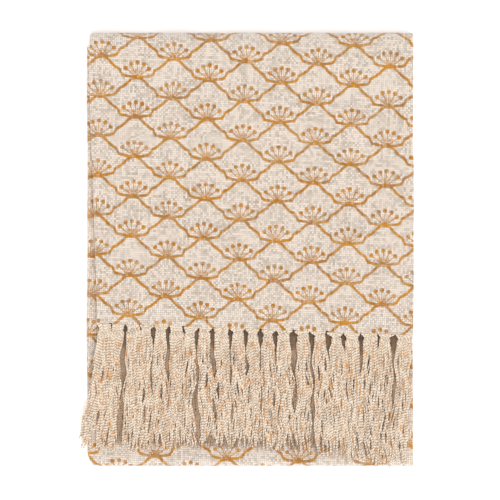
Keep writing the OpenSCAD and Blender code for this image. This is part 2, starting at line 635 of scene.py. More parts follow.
@dataclass(frozen=True)
class ClothFinish:
    """Plain-weave cotton, with or without the print on it.

    A span holds the two values that something eases between. Shares and scales are plain numbers.
    """

    name: str
    printed: bool
    warp_pitch: float = 1.98 * MM
    weft_pitch: float = 2.14 * MM
    ecru: Colour = (0.90, 0.785, 0.685, 1.0)
    warm: Colour = (0.47, 0.375, 0.285, 1.0)
    # Colour of the holes between the threads: painted shade where the threads part.
    painted_hole_shade: Colour = (0.20, 0.15, 0.105, 1.0)
    ochre: Colour = (0.64, 0.285, 0.026, 1.0)
    deep_ochre: Colour = (0.46, 0.185, 0.02, 1.0)
    roughness: float = 0.92
    sheen: float = 0.25
    sheen_roughness: float = 0.6
    gloss: float = 0.2
    depth: float = 0.45 * MM
    pull: float = 0.9 * MM
    pull_scale: float = 90.0
    pull_layer: float = 0.7
    crossing_edge: float = 0.2
    crimp_share: float = 0.45
    warp_run: float = 17.0
    weft_run: float = 13.0
    slub_stretch: Span = (60.0, 900.0)
    slub_span: Span = (0.56, 0.74)
    slub_height: float = 0.25
    hole_span: Span = (0.3, 1.05)
    hole_share: float = 0.88
    mottle_scale: float = 28.0
    mottle_detail: float = 4.0
    mottle_share: float = 0.42
    mottle_base: float = -0.51
    over_share: float = -0.22
    cell_share: float = 0.78
    thread_share: float = 0.5
    bare_until: float = 0.5
    bare_least: float = 0.72
    dye_span: Span = (0.2, 0.8)
    stair: float = 0.18
    design: Print = field(default_factory=Print)

    def weave(self, r: Recipe, u: object, v: object) -> Weave:
        """Lay out the threads.

        Args:
            r: the material.
            u: place across the cloth.
            v: place along the cloth.

        Returns:
            The threads' sockets.
        """
        middle = -self.pull / 2.0
        pull_u = r.math("MULTIPLY_ADD", r.noise(r.point(u, v), self.pull_scale), self.pull, middle)
        crosswise = r.noise(r.point(v, u, self.pull_layer), self.pull_scale)
        pull_v = r.math("MULTIPLY_ADD", crosswise, self.pull, middle)
        thread_u = r.math("DIVIDE", r.math("ADD", u, pull_u), self.warp_pitch)
        thread_v = r.math("DIVIDE", r.math("ADD", v, pull_v), self.weft_pitch)
        wave_u = r.math("SINE", r.math("MULTIPLY", thread_u, math.pi))
        wave_v = r.math("SINE", r.math("MULTIPLY", thread_v, math.pi))
        warp_no = r.math("FLOOR", thread_u)
        weft_no = r.math("FLOOR", thread_v)
        warp_tone = r.speckle(r.point(warp_no, r.math("FLOOR", r.math("DIVIDE", thread_v, self.warp_run))))
        weft_tone = r.speckle(r.point(r.math("FLOOR", r.math("DIVIDE", thread_u, self.weft_run)), weft_no))
        return Weave(
            over=r.ease(r.math("MULTIPLY", wave_u, wave_v), -self.crossing_edge, self.crossing_edge),
            warp_top=r.math("ABSOLUTE", wave_u),
            weft_top=r.math("ABSOLUTE", wave_v),
            warp_no=warp_no,
            weft_no=weft_no,
            thread_tone=r.math("ADD", r.math("MULTIPLY", warp_tone, 0.5), r.math("MULTIPLY", weft_tone, 0.5)),
            cell_tone=r.speckle(r.point(warp_no, weft_no)),
        )

    def relief(self, r: Recipe, threads: Weave, u: object, v: object) -> bpy.types.NodeSocket:
        """Height of the threads above the gaps between them.

        Args:
            r: the material.
            threads: the threads' sockets.
            u: place across the cloth.
            v: place along the cloth.

        Returns:
            The height's socket.
        """
        weft_share = r.math("MULTIPLY", r.math("SUBTRACT", 1.0, threads.over), threads.weft_top)
        crown = r.math("MULTIPLY_ADD", threads.over, threads.warp_top, weft_share)
        both = r.math("MULTIPLY", threads.warp_top, threads.weft_top)
        height = r.math("ADD", r.math("MULTIPLY", crown, 0.5), r.math("MULTIPLY", both, self.crimp_share))
        slub = r.ease(r.noise(r.stretched(u, v, *self.slub_stretch), 1.0), *self.slub_span)
        return r.math("MULTIPLY_ADD", slub, self.slub_height, height)

    def undyed(self, r: Recipe, threads: Weave, u: object, v: object) -> bpy.types.NodeSocket:
        """Colour of the cotton, uneven from thread to thread.

        Args:
            r: the material.
            threads: the threads' sockets.
            u: place across the cloth.
            v: place along the cloth.

        Returns:
            The colour's socket.
        """
        blotches = r.noise(r.point(u, v), self.mottle_scale, self.mottle_detail)
        mottle = r.math("MULTIPLY_ADD", blotches, self.mottle_share, self.mottle_base)
        cells = r.math("MULTIPLY_ADD", threads.cell_tone, self.cell_share, mottle)
        weave_tone = r.math("MULTIPLY_ADD", threads.over, self.over_share, cells)
        share = r.math("MULTIPLY_ADD", threads.thread_tone, self.thread_share, weave_tone, hold=True)
        return r.blend(share, self.ecru, self.warm)

    def snap(self, r: Recipe, place: object, number: object, pitch: float) -> bpy.types.NodeSocket:
        """Draw a place a little towards the middle of its thread, so that printed edges step.

        Args:
            r: the material.
            place: the place on the cloth.
            number: the number of the thread there.
            pitch: the threads' pitch.

        Returns:
            The stepped place's socket.
        """
        middle = r.math("MULTIPLY", r.math("ADD", number, 0.5), pitch)
        return r.math("MULTIPLY_ADD", r.math("SUBTRACT", middle, place), self.stair, place)

    def dyed(
        self, r: Recipe, threads: Weave, u: object, v: object, colour: object
    ) -> bpy.types.NodeSocket:
        """Lay the print over the cotton's colour.

        Args:
            r: the material.
            threads: the threads' sockets.
            u: place across the cloth.
            v: place along the cloth.
            colour: the cotton's colour.

        Returns:
            The printed colour's socket.
        """
        print_u = self.snap(r, u, threads.warp_no, self.warp_pitch)
        print_v = self.snap(r, v, threads.weft_no, self.weft_pitch)
        ink = self.design.ink(r, print_u, print_v)
        taken = r.ease(threads.cell_tone, 0.0, self.bare_until, self.bare_least, 1.0)
        dye = r.blend(r.ease(threads.thread_tone, *self.dye_span), self.ochre, self.deep_ochre)
        return r.blend(r.math("MULTIPLY", ink, taken), colour, dye)

    def build(self) -> bpy.types.Material:
        """Make the material.

        Returns:
            The material.
        """
        r = Recipe(self.name)
        u, v = r.map_lines(CLOTH_MAP)
        threads = self.weave(r, u, v)
        height = self.relief(r, threads, u, v)
        colour = self.undyed(r, threads, u, v)
        if self.printed:
            colour = self.dyed(r, threads, u, v, colour)
        # The holes between the threads are darkened with painted shade.
        hole = r.ease(r.math("ADD", threads.warp_top, threads.weft_top), *self.hole_span, 1.0, 0.0)
        colour = r.blend(r.math("MULTIPLY", hole, self.hole_share), colour, self.painted_hole_shade)
        r.feed(r.shader.inputs["Base Color"], colour)
        r.shader.inputs["Roughness"].default_value = self.roughness
        r.shader.inputs["Sheen Weight"].default_value = self.sheen
        r.shader.inputs["Sheen Roughness"].default_value = self.sheen_roughness
        r.shader.inputs["Specular IOR Level"].default_value = self.gloss
        r.bump(height, self.depth)
        return r.material


@dataclass(frozen=True)
class YarnFinish:
    """Soft two-ply yarn, with flecks of another colour where it has been dyed.

    A stretch holds a pattern's scale along the yarn and round it.
    """

    name: str
    flecks: float
    pale: Colour = (0.955, 0.82, 0.665, 1.0)
    shade: Colour = (0.22, 0.13, 0.078, 1.0)
    orange: Colour = (0.66, 0.30, 0.07, 1.0)
    ply_turn: float = 5.6 * MM
    roughness: float = 0.95
    sheen: float = 0.4
    gloss: float = 0.15
    depth: float = 0.3 * MM
    groove_span: Span = (0.05, 0.85)
    groove_share: float = 0.78
    tone_scale: float = 45.0
    tone_layer: float = 3.1
    tone_share: float = 2.0
    tone_base: float = -0.98
    fleck_stretch: Span = (130.0, 1.5)
    fleck_span: Span = (0.52, 0.66)
    fuzz_stretch: Span = (2400.0, 9.0)
    fuzz_share: float = 0.5
    detail: float = 3.0

    def build(self) -> bpy.types.Material:
        """Make the material.

        Returns:
            The material.
        """
        r = Recipe(self.name)
        along, around = r.map_lines(YARN_MAP)
        twist = r.math("MULTIPLY_ADD", around, 0.5, r.math("DIVIDE", along, self.ply_turn))
        ply = r.math("ABSOLUTE", r.math("SINE", r.math("MULTIPLY", twist, 2.0 * math.pi)))
        fuzz = r.noise(r.stretched(along, around, *self.fuzz_stretch), 1.0, self.detail)
        stretch = r.point(r.math("MULTIPLY", along, self.tone_scale), self.tone_layer)
        tone = r.noise(stretch, 1.0, self.detail)
        groove = r.ease(ply, *self.groove_span, 1.0, 0.0)
        drift = r.math("MULTIPLY_ADD", tone, self.tone_share, self.tone_base)
        share = r.math("MULTIPLY_ADD", groove, self.groove_share, drift, hold=True)
        colour = r.blend(share, self.pale, self.shade)
        run = r.noise(r.stretched(along, around, *self.fleck_stretch), 1.0, self.detail)
        fleck = r.math("MULTIPLY", r.ease(run, *self.fleck_span), self.flecks)
        colour = r.blend(fleck, colour, self.orange)
        r.feed(r.shader.inputs["Base Color"], colour)
        r.shader.inputs["Roughness"].default_value = self.roughness
        r.shader.inputs["Sheen Weight"].default_value = self.sheen
        r.shader.inputs["Specular IOR Level"].default_value = self.gloss
        r.bump(r.math("MULTIPLY_ADD", fuzz, self.fuzz_share, ply), self.depth)
        return r.material


@dataclass(frozen=True)
class LabelFinish:
    """Woven satin tape for the blank care label."""

    name: str = "label_satin"
    white: Colour = (0.86, 0.85, 0.82, 1.0)
    shade: Colour = (0.74, 0.72, 0.68, 1.0)
    rib: float = 0.4 * MM
    rib_share: float = -0.35
    rib_depth: float = 0.06 * MM
    drift_stretch: Span = (90.0, 700.0)
    drift_share: float = 0.8
    drift_base: float = 0.1
    detail: float = 3.0
    roughness: float = 0.38
    sheen: float = 0.2

    def build(self) -> bpy.types.Material:
        """Make the material.

        Returns:
            The material.
        """
        r = Recipe(self.name)
        u, v = r.map_lines(CLOTH_MAP)
        ribs = r.math("ABSOLUTE", r.math("SINE", r.math("MULTIPLY", v, math.pi / self.rib)))
        drift = r.noise(r.stretched(u, v, *self.drift_stretch), 1.0, self.detail)
        uneven = r.math("MULTIPLY_ADD", drift, self.drift_share, self.drift_base)
        share = r.math("MULTIPLY_ADD", ribs, self.rib_share, uneven, hold=True)
        r.feed(r.shader.inputs["Base Color"], r.blend(share, self.white, self.shade))
        r.shader.inputs["Roughness"].default_value = self.roughness
        r.shader.inputs["Sheen Weight"].default_value = self.sheen
        r.bump(ribs, self.rib_depth)
        return r.material


@dataclass(frozen=True)
class FloorFinish:
    """Plain pale studio floor, lit a little from below like a light table, so that shadows stay faint."""

    name: str = "studio_floor"
    pale: Colour = (0.97, 0.97, 0.97, 1.0)
    roughness: float = 0.9
    gloss: float = 0.1
    glow: float = 0.28

    def build(self) -> bpy.types.Material:
        """Make the material.

        Returns:
            The material.
        """
        r = Recipe(self.name)
        r.shader.inputs["Base Color"].default_value = self.pale
        r.shader.inputs["Roughness"].default_value = self.roughness
        r.shader.inputs["Specular IOR Level"].default_value = self.gloss
        r.shader.inputs["Emission Color"].default_value = self.pale
        r.shader.inputs["Emission Strength"].default_value = self.glow
        return r.material


@dataclass
class Finishes:
    """Every finish of the throw, made once."""

    printed: bpy.types.Material
    reverse: bpy.types.Material
    yarn: bpy.types.Material
    knot_yarn: bpy.types.Material
    # Skirts of the hidden rows: yarn darkened as painted shade, for the shadow under the top tassels.
    under_yarn: bpy.types.Material
    # Gathers and knots of the hidden rows: yarn darkened further as painted shade.
    deep_yarn: bpy.types.Material
    label: bpy.types.Material

    @classmethod
    def make(cls) -> "Finishes":
        """Build all the materials.

        Returns:
            The finishes.
        """
        soft_shade = (0.36, 0.25, 0.17, 1.0)
        # Pale of the hidden rows' skirt yarn, darkened as painted shade.
        under_shade_pale = (0.60, 0.45, 0.325, 1.0)
        # Pale of the hidden rows' gather and knot yarn, darkened further as painted shade.
        dark = (0.28, 0.19, 0.125, 1.0)
        return cls(
            printed=ClothFinish("printed_cloth", printed=True).build(),
            reverse=ClothFinish("reverse_cloth", printed=False).build(),
            yarn=YarnFinish("fringe_yarn", flecks=0.85).build(),
            knot_yarn=YarnFinish("knot_yarn", flecks=0.25, shade=soft_shade).build(),
            under_yarn=YarnFinish("under_yarn", flecks=0.7, pale=under_shade_pale).build(),
            deep_yarn=YarnFinish("deep_yarn", flecks=0.5, pale=dark).build(),
            label=LabelFinish().build(),
        )


# ---------------------------------------------------------------------------------------------------------
# How the cloth is folded
# ---------------------------------------------------------------------------------------------------------


@dataclass(frozen=True)
class FoldPlan:
    """Where the folded cloth lies, all read from the frame."""

    left: float
    right: float
    flap_left: float
    pack_t: float
    air: float
    half_y: float
    front_y: float
    hinge_y: float
    hinge_z: float
    edge_root: tuple[float, float]
    edge_slope: float
    stack_t: float

    @classmethod
    def from_frame(cls) -> "FoldPlan":
        """Read the plan from the boxes of the CAD nodes and from the joints.

        Returns:
            The plan.
        """
        lower_low, lower_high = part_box("lower_panel")
        middle_low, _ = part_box("middle_panel")
        fold_low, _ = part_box("half_fold")
        flap_low, flap_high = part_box("outer_flap")
        joints = {joint["name"]: joint for joint in frame["joints"]}
        hinge = joints["flap_fold"]["pos_m"]
        first = joints["tassel_01_lift"]["pos_m"]
        axis = joints["tassel_01_lift"]["axis"]
        slope = axis[1] / axis[0]
        return cls(
            left=lower_low.x,
            right=lower_high.x,
            flap_left=flap_low.x,
            pack_t=lower_high.z - lower_low.z,
            air=middle_low.z - lower_high.z,
            half_y=lower_low.y,
            front_y=fold_low.y,
            hinge_y=hinge[1],
            hinge_z=hinge[2],
            edge_root=(flap_low.x, first[1] + (flap_low.x - first[0]) * slope),
            edge_slope=slope,
            stack_t=flap_high.z,
        )

    @property
    def pitch(self) -> float:
        """Height from one layer to the next."""
        return (self.pack_t + self.air) / 4.0

    @property
    def pack_pitch(self) -> float:
        """Height from one pack to the next."""
        return self.pack_t + self.air

    @property
    def printed_out(self) -> float:
        """Distance from the middle of a pack to its printed outside layer."""
        return Layer.OUTSIDE.value * self.pitch

    @property
    def panel(self) -> float:
        """Length of one half of the packet's base, between its folds."""
        return self.hinge_y - self.half_y

    @property
    def radius_out(self) -> float:
        """Radius of the middle of the outer turn's pack."""
        return 1.5 * self.pack_pitch

    @property
    def radius_in(self) -> float:
        """Radius of the middle of the inner turn's pack."""
        return 0.5 * self.pack_pitch

    @property
    def outer_turn_run(self) -> float:
        """Length of the printed layer round the outer turn."""
        return math.pi * (self.radius_out + self.printed_out)

    @property
    def half_fold_run(self) -> float:
        """Length of the printed layer round the half fold."""
        return math.pi * (self.pack_pitch / 2.0 + self.printed_out)

    @property
    def inner_run_start(self) -> float:
        """Place along the unrolled cloth where the inner flap leaves the inner turn."""
        base_run = self.hinge_y + self.outer_turn_run + 2.0 * self.panel + self.half_fold_run
        return base_run + math.pi * self.radius_in

    def pack_middle(self, number: int) -> float:
        """Height of the middle of a pack, counted from 0 at the bottom."""
        return number * self.pack_pitch + self.pack_t / 2.0

    def edge_at(self, x: np.ndarray) -> np.ndarray:
        """Y of the straight line that the fringe hangs from, at x."""
        return self.edge_root[1] + (x - self.edge_root[0]) * self.edge_slope


@dataclass(frozen=True)
class Settling:
    """Slight unevenness of the whole stack: a function of place, so that neighbours stay together."""

    lift: float = 0.45 * MM
    push: float = 0.7 * MM
    full_height: float = cad_high.z
    broad: Span = (27.0, 21.0)
    broad_start: Span = (1.1, -0.4)
    fine: Span = (61.0, 34.0)
    sway_broad: Span = (24.0, 40.0)
    sway_fine: Span = (57.0, 90.0)
    sway_start: float = 1.7

    def apply(self, points: np.ndarray) -> np.ndarray:
        """Move points a little.

        Args:
            points: array whose last axis holds x, y and z.

        Returns:
            The moved points.
        """
        x, y, z = points[..., 0], points[..., 1], points[..., 2]
        share = np.clip(z / self.full_height, 0.0, 1.0)
        ridges = np.sin(x * self.broad[0] + self.broad_start[0])
        hills = ridges * np.sin(y * self.broad[1] + self.broad_start[1])
        swell = hills + 0.5 * np.sin(x * self.fine[0] - y * self.fine[1])
        lean = np.sin(y * self.sway_fine[0] + self.sway_fine[1] * z + self.sway_start)
        sway = np.sin(y * self.sway_broad[0] + self.sway_broad[1] * z) + 0.5 * lean
        moved = points.copy()
        moved[..., 0] = x + self.push * 0.5 * sway
        moved[..., 2] = z + self.lift * 0.5 * share * (swell - 1.0)
        return moved


@dataclass(frozen=True)
class WidthPath:
    """The cloth's width in one pack: four layers, two bends nested on the left and a tight one on the right.

    Attributes share one entry for each column of the mesh: straight (share of the way from the left bends
    to the right one), dx (what a bend adds to that), offset (height above the middle of the pack) and the
    two parts of the direction that the printed side faces.
    """

    straight: np.ndarray
    dx: np.ndarray
    offset: np.ndarray
    face_x: np.ndarray
    face_out: np.ndarray
    hemmed: np.ndarray
    top_start: int
    splits: tuple[int, int, int]

    @classmethod
    def quartered(
        cls,
        plan: FoldPlan,
        spacing: float,
        hem_inset: float = 1.0 * MM,
        hem_share: float = 0.031,
        hem_rise: float = 200.0,
        bend_steps: int = 13,
    ) -> "WidthPath":
        """Follow the cloth from its inside free edge to the other one.

        Args:
            plan: the fold plan.
            spacing: length of a mesh column on the straight stretches.
            hem_inset: how far the free edges stand in from the right side.
            hem_share: the hem's share of a layer's width.
            hem_rise: how steeply the cloth thickens at the hem.
            bend_steps: points along a bend, with both ends.

        Returns:
            The path.
        """
        pitch = plan.pitch
        width = plan.right - plan.left
        count = int(width / spacing)
        tight = pitch / 2.0
        wide = Layer.OUTSIDE.value * pitch
        past = (plan.pack_t / 4.0 + plan.air / 8.0) - hem_inset
        share = np.linspace(0.0, 1.0, count)
        hem = np.clip((share - (1.0 - hem_share)) * hem_rise, 0.0, 1.0)
        plain = np.zeros(count)
        bend = np.linspace(-math.pi / 2.0, math.pi / 2.0, bend_steps)[1:-1]
        turn = bend[::-1]

        def lay(height: float, side: float, forward: bool, free: bool) -> tuple[np.ndarray, ...]:
            """Lay one straight layer.

            Args:
                height: height above the middle of the pack.
                side: 1 where the printed side faces out and -1 where it faces in.
                forward: whether the layer runs to the right.
                free: whether it ends in a free edge at the right.

            Returns:
                The six columns of numbers that the path is made of.
            """
            s = share if forward else share[::-1]
            thick = (hem if forward else hem[::-1]) if free else plain
            extra = s * past if free else plain
            return s, extra, np.full(count, height), plain, np.full(count, side), thick

        def around(
            radius: float, middle: float, angles: np.ndarray, left: bool, facing: float
        ) -> tuple[np.ndarray, ...]:
            """Lay one bend.

            Args:
                radius: its radius.
                middle: height of its centre.
                angles: the angles to go through.
                left: whether it is on the left.
                facing: 1 where the printed side faces out and -1 where it faces in.

            Returns:
                The six columns of numbers that the path is made of.
            """
            way = -1.0 if left else 1.0
            s = np.zeros(len(angles)) if left else np.ones(len(angles))
            cos, sin = np.cos(angles), np.sin(angles)
            none = np.zeros(len(angles))
            return s, way * radius * cos, middle + radius * sin, facing * way * cos, facing * sin, none

        parts = [
            lay(-wide, -1.0, False, True),
            around(wide, 0.0, bend, True, 1.0),
            lay(wide, 1.0, True, False),
            around(tight, pitch, turn, False, 1.0),
            lay(tight, -1.0, False, False),
            around(tight, 0.0, turn, True, -1.0),
            lay(-tight, 1.0, True, True),
        ]
        starts = np.cumsum([0] + [len(part[0]) for part in parts])
        middles = tuple(int((starts[i] + starts[i + 1]) // 2) for i in (1, 3, 5))
        columns = [np.concatenate([part[i] for part in parts]) for i in range(6)]
        return cls(*columns, top_start=int(starts[2]), splits=middles)


@dataclass
class Patch:
    """A piece of the folded cloth as a grid: middle surface, facing, print place and thickness."""

    points: np.ndarray
    facing: np.ndarray
    print_at: np.ndarray
    thickness: np.ndarray

    def columns(self, start: int, stop: int) -> "Patch":
        """The part of the patch between two columns, both included."""
        cut = slice(start, stop + 1)
        return Patch(self.points[:, cut], self.facing[:, cut], self.print_at[:, cut], self.thickness[:, cut])

    def to_piece(self, name: str, finishes: Finishes, settling: Settling) -> bpy.types.Object:
        """Give the patch its thickness and close it all round.

        Args:
            name: the piece's name.
            finishes: the throw's finishes.
            settling: the stack's unevenness.

        Returns:
            The piece.
        """
        rows, columns = self.points.shape[:2]
        half = self.facing * self.thickness[..., None] / 2.0
        outer = settling.apply(self.points + half).reshape(-1, 3)
        inner = settling.apply(self.points - half).reshape(-1, 3)
        total = rows * columns
        top = grid_faces(rows, columns)
        under = grid_faces(rows, columns, total)[:, ::-1]
        number = np.arange(total).reshape(rows, columns)
        loop = np.concatenate([number[0, :-1], number[:-1, -1], number[-1, :0:-1], number[:0:-1, 0]])
        after = np.roll(loop, -1)
        rim = np.stack([after, loop, loop + total, after + total], axis=1)
        slots = np.concatenate([
            np.full(len(top), Side.PRINTED.value),
            np.full(len(under) + len(rim), Side.REVERSE.value),
        ])
        flat = self.print_at.reshape(-1, 2)
        return build_mesh(
            name,
            np.concatenate([outer, inner]),
            [np.concatenate([top, under, rim])],
            np.concatenate([flat, flat]),
            CLOTH_MAP,
            [finishes.printed, finishes.reverse],
            slots,
        )


@dataclass
class Cloth:
    """The printed cloth, folded up, in the pieces that the fold-over hinge asks for."""

    plan: FoldPlan
    finishes: Finishes
    settling: Settling = field(default_factory=Settling)
    spacing: float = 5.0 * MM
    flap_spacing: float = 2.5 * MM
    thickness: float = 1.25 * MM
    hem_extra: float = 0.25 * MM
    thread_deg: float = -2.15
    crossing: tuple[float, float] = (-114.5 * MM, 52.4 * MM)
    base_slip: tuple[float, float] = (-4.6 * MM, -1.6 * MM)
    front_corner: float = 13.0 * MM
    top_corner: float = 4.0 * MM
    small_corner: float = 3.0 * MM
    flap_lean: float = 7.3 * MM
    flap_shoulder: float = 1.6 * MM
    scallop_depth: float = 2.6 * MM
    pucker_height: float = 1.0 * MM
    pucker_reach: float = 6.0 * MM
    roll_drop: float = 0.5 * MM
    roll_reach: float = 1.6 * MM
    left_stand_in: float = 2.4 * MM
    right_stand_out: float = 0.8 * MM
    uneven_share: Span = (0.35, 0.2)
    uneven_wave: Span = (173.0, 407.0)
    row_spacing: float = 6.0 * MM
    fold_rows: int = 15
    turn_rows: int = 25
    flap_rows: int = 56
    flap_crowding: float = 1.15
    shoulder_start: float = 12.0
    design: Print = field(default_factory=Print)
    throw_width: float = 1.3

    def __post_init__(self) -> None:
        """Lay out the columns that every patch shares."""
        self.path = WidthPath.quartered(self.plan, self.spacing)
        self.flap_path = WidthPath.quartered(self.plan, self.flap_spacing)
        self.tassel_x = np.array([joint["pos_m"][0] for joint in frame["joints"][1:]])

    def rotate_to_threads(self, across: np.ndarray, along: np.ndarray) -> tuple[np.ndarray, np.ndarray]:
        """Turn places on the unrolled cloth into places along its threads.

        Args:
            across: places across the cloth.
            along: places along it.

        Returns:
            The places across and along the threads.
        """
        angle = math.radians(self.thread_deg)
        cos, sin = math.cos(angle), math.sin(angle)
        aside, onward = across - self.crossing[0], along - self.crossing[1]
        return aside * cos + onward * sin, onward * cos - aside * sin

    def slip_of_base(self) -> tuple[float, float]:
        """How far the print is eased along the lower panel so that it lies right on the packet's base.

        Returns:
            What is added across and along the threads from the half fold onwards.
        """
        plan = self.plan
        shift = plan.outer_turn_run + plan.panel + plan.half_fold_run + plan.hinge_y - plan.half_y
        u, v = self.rotate_to_threads(np.array(self.crossing[0]), np.array(self.crossing[1] + shift))
        want_u, want_v = self.rotate_to_threads(
            np.array(self.crossing[0] - self.base_slip[0]), np.array(self.crossing[1] - self.base_slip[1])
        )
        rows = round(float(v - want_v) / self.design.along * 2.0)
        odd = rows % 2
        columns = round(float(u - want_u) / self.design.across - odd / 2.0) + odd / 2.0
        slip_u = float(want_u - u) + columns * self.design.across
        slip_v = float(want_v - v) + rows * self.design.along / 2.0
        return slip_u, slip_v

    def patch(
        self,
        centre: np.ndarray,
        outward: np.ndarray,
        along: np.ndarray,
        slip_share: np.ndarray,
        left: np.ndarray,
        right: np.ndarray,
        front: bool = False,
    ) -> Patch:
        """Sweep the quartered width along a line.

        Args:
            centre: (rows, 2) y and z of the middle of the pack.
            outward: (rows, 2) y and z of the direction that the printed side faces.
            along: (rows,) place along the unrolled cloth.
            slip_share: (rows,) how much of the base's print slip applies.
            left: (rows,) x of the left side.
            right: (rows,) x of the right side.
            front: whether the first row lies on the skewed edge that the fringe hangs from.

        Returns:
            The patch.
        """
        path = self.flap_path if front else self.path
        plan = self.plan
        bend_left = (left + plan.pack_t / 2.0)[:, None]
        bend_right = (right - plan.pitch + plan.air / 2.0)[:, None]
        x = bend_left + path.straight * (bend_right - bend_left) + path.dx
        y = centre[:, :1] + path.offset * outward[:, :1]
        z = centre[:, 1:] + path.offset * outward[:, 1:]
        run = np.broadcast_to(along[:, None], x.shape).copy()
        if front:
            edge = self.plan.edge_at(x) + self.scallops(x)
            share = (centre[:, :1] - centre[0, 0]) / (centre[-1, 0] - centre[0, 0])
            y = edge + (centre[-1, 0] - edge) * share
            run = run + (y - centre[:, :1]) * np.sign(along[-1] - along[0])
            z = z + self.pucker(x, y - edge)
        step = np.hypot(np.diff(x, axis=1), np.broadcast_to(np.diff(path.offset), x[:, 1:].shape))
        across = np.concatenate([np.zeros((len(x), 1)), np.cumsum(step, axis=1)], axis=1)
        start = path.top_start
        across = across - across[:, start : start + 1] + x[:, start : start + 1]
        u, v = self.rotate_to_threads(across, run)
        slip_u, slip_v = self.slip_of_base()
        print_at = np.stack([u + slip_u * slip_share[:, None], v + slip_v * slip_share[:, None]], axis=-1)
        facing = np.stack([
            np.broadcast_to(path.face_x, x.shape),
            path.face_out * outward[:, :1],
            path.face_out * outward[:, 1:],
        ], axis=-1)
        thick = np.broadcast_to(self.thickness + self.hem_extra * path.hemmed, x.shape).copy()
        return Patch(np.stack([x, y, z], axis=-1), unit(facing), print_at, thick)

    def between_knots(self, x: np.ndarray) -> np.ndarray:
        """How far places lie from the knots that gather the edge.

        Args:
            x: places across the edge.

        Returns:
            0 at a knot, easing to 1 half way to the next.
        """
        nearest = np.abs(x[..., None] - self.tassel_x).min(axis=-1)
        room = np.median(np.diff(self.tassel_x)) / 2.0
        return smooth_step(nearest / room)

    def scallops(self, x: np.ndarray) -> np.ndarray:
        """How far the cloth's edge arches back between the knots that gather it.

        Args:
            x: places across the edge.

        Returns:
            The arch at each place.
        """
        broad, fine = self.uneven_share
        uneven = 1.0 + broad * np.sin(x * self.uneven_wave[0]) + fine * np.sin(x * self.uneven_wave[1] + 1.0)
        return self.scallop_depth * uneven * self.between_knots(x)

    def pucker(self, x: np.ndarray, inward: np.ndarray) -> np.ndarray:
        """How far the cloth rises between the knots that gather its edge, and rolls down at the edge.

        Args:
            x: places across the edge.
            inward: distances from the edge.

        Returns:
            The rise at each place.
        """
        ridge = self.between_knots(x) - 0.5
        fade = np.exp(-np.maximum(inward, 0.0) / self.pucker_reach)
        roll = np.exp(-np.maximum(inward, 0.0) / self.roll_reach)
        return self.pucker_height * ridge * fade - self.roll_drop * roll

    def straight_rows(self, y0: float, y1: float) -> np.ndarray:
        """Y of the rows of a flat panel from y0 to y1."""
        return np.linspace(y0, y1, max(3, int(abs(y1 - y0) / self.row_spacing)))

    def flat(self, y: np.ndarray, z: float, up: float) -> tuple[np.ndarray, np.ndarray]:
        """Middle and facing of a flat panel's rows at y, at height z, with up of 1 or -1."""
        centre = np.stack([y, np.full(len(y), z)], axis=1)
        return centre, np.tile([0.0, up], (len(y), 1))

    def ring(
        self, y: float, z: float, radius: float, angles: np.ndarray, facing: float
    ) -> tuple[np.ndarray, np.ndarray]:
        """Middle and facing of the rows that go round a turn about y and z."""
        way = np.stack([np.cos(angles), np.sin(angles)], axis=1)
        return np.array([y, z]) + radius * way, facing * way

    def base_sides(self, y: np.ndarray) -> tuple[np.ndarray, np.ndarray]:
        """Left and right side of the packet's base at each row.

        Args:
            y: y of the rows.

        Returns:
            X of the left and of the right side.
        """
        from_front = y - self.plan.front_y
        left = self.plan.left + self.left_stand_in + corner_inset(from_front, self.front_corner)
        right = self.plan.right + self.right_stand_out - corner_inset(from_front, self.small_corner)
        return left, right

    def flap_sides(self, y: np.ndarray) -> tuple[np.ndarray, np.ndarray]:
        """Left and right side of the flap at each row, leaning in towards its fringed edge.

        Args:
            y: y of the rows.

        Returns:
            X of the left and of the right side.
        """
        reach = (self.plan.hinge_y - y) / (self.plan.hinge_y - self.plan.edge_root[1])
        shoulder = self.flap_shoulder * smooth_step(reach * self.shoulder_start)
        left = self.plan.flap_left - shoulder + (self.flap_lean + self.flap_shoulder) * reach
        return left, np.full(len(y), self.plan.right + self.right_stand_out)

    def turn_sides(self, y: np.ndarray) -> tuple[np.ndarray, np.ndarray]:
        """Left and right side of the turns at each row.

        Args:
            y: y of the rows.

        Returns:
            X of the left and of the right side.
        """
        from_back = self.plan.hinge_y + self.plan.stack_t / 2.0 - y
        right = self.plan.right + self.right_stand_out - corner_inset(from_back, self.top_corner)
        return np.full(len(y), self.plan.flap_left), right

    def make_base(self) -> bpy.types.Object:
        """Make the lower panel, the half fold and the middle panel, as one sheet.

        Returns:
            The piece.
        """
        plan = self.plan
        arc = plan.hinge_y + plan.outer_turn_run
        lower_y = self.straight_rows(plan.hinge_y, plan.half_y)
        middle_y = lower_y[::-1]
        angles = -np.linspace(math.pi / 2.0, 3.0 * math.pi / 2.0, self.fold_rows)[1:-1]
        fold_r = plan.pack_pitch / 2.0
        fold_z = plan.pack_t + plan.air / 2.0
        bend, bend_out = self.ring(plan.half_y, fold_z, fold_r, angles, 1.0)
        low, low_out = self.flat(lower_y, plan.pack_middle(0), -1.0)
        mid, mid_out = self.flat(middle_y, plan.pack_middle(1), 1.0)
        printed_r = fold_r + plan.printed_out
        lower_run = arc + plan.hinge_y - lower_y
        bend_run = lower_run[-1] + printed_r * (-math.pi / 2.0 - angles)
        middle_run = lower_run[-1] + math.pi * printed_r + middle_y - plan.half_y
        centre = np.concatenate([low, bend, mid])
        outward = np.concatenate([low_out, bend_out, mid_out])
        run = np.concatenate([lower_run, bend_run, middle_run])
        share = np.concatenate([np.linspace(0.0, 1.0, len(low)), np.ones(len(bend) + len(mid))])
        left, right = self.base_sides(centre[:, 0])
        patch = self.patch(centre, outward, run, share, left, right)
        piece = patch.to_piece("cloth_base", self.finishes, self.settling)
        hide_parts("lower_panel", "middle_panel", "half_fold", "lower_hems", "middle_hems")
        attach(piece, "base")
        return piece

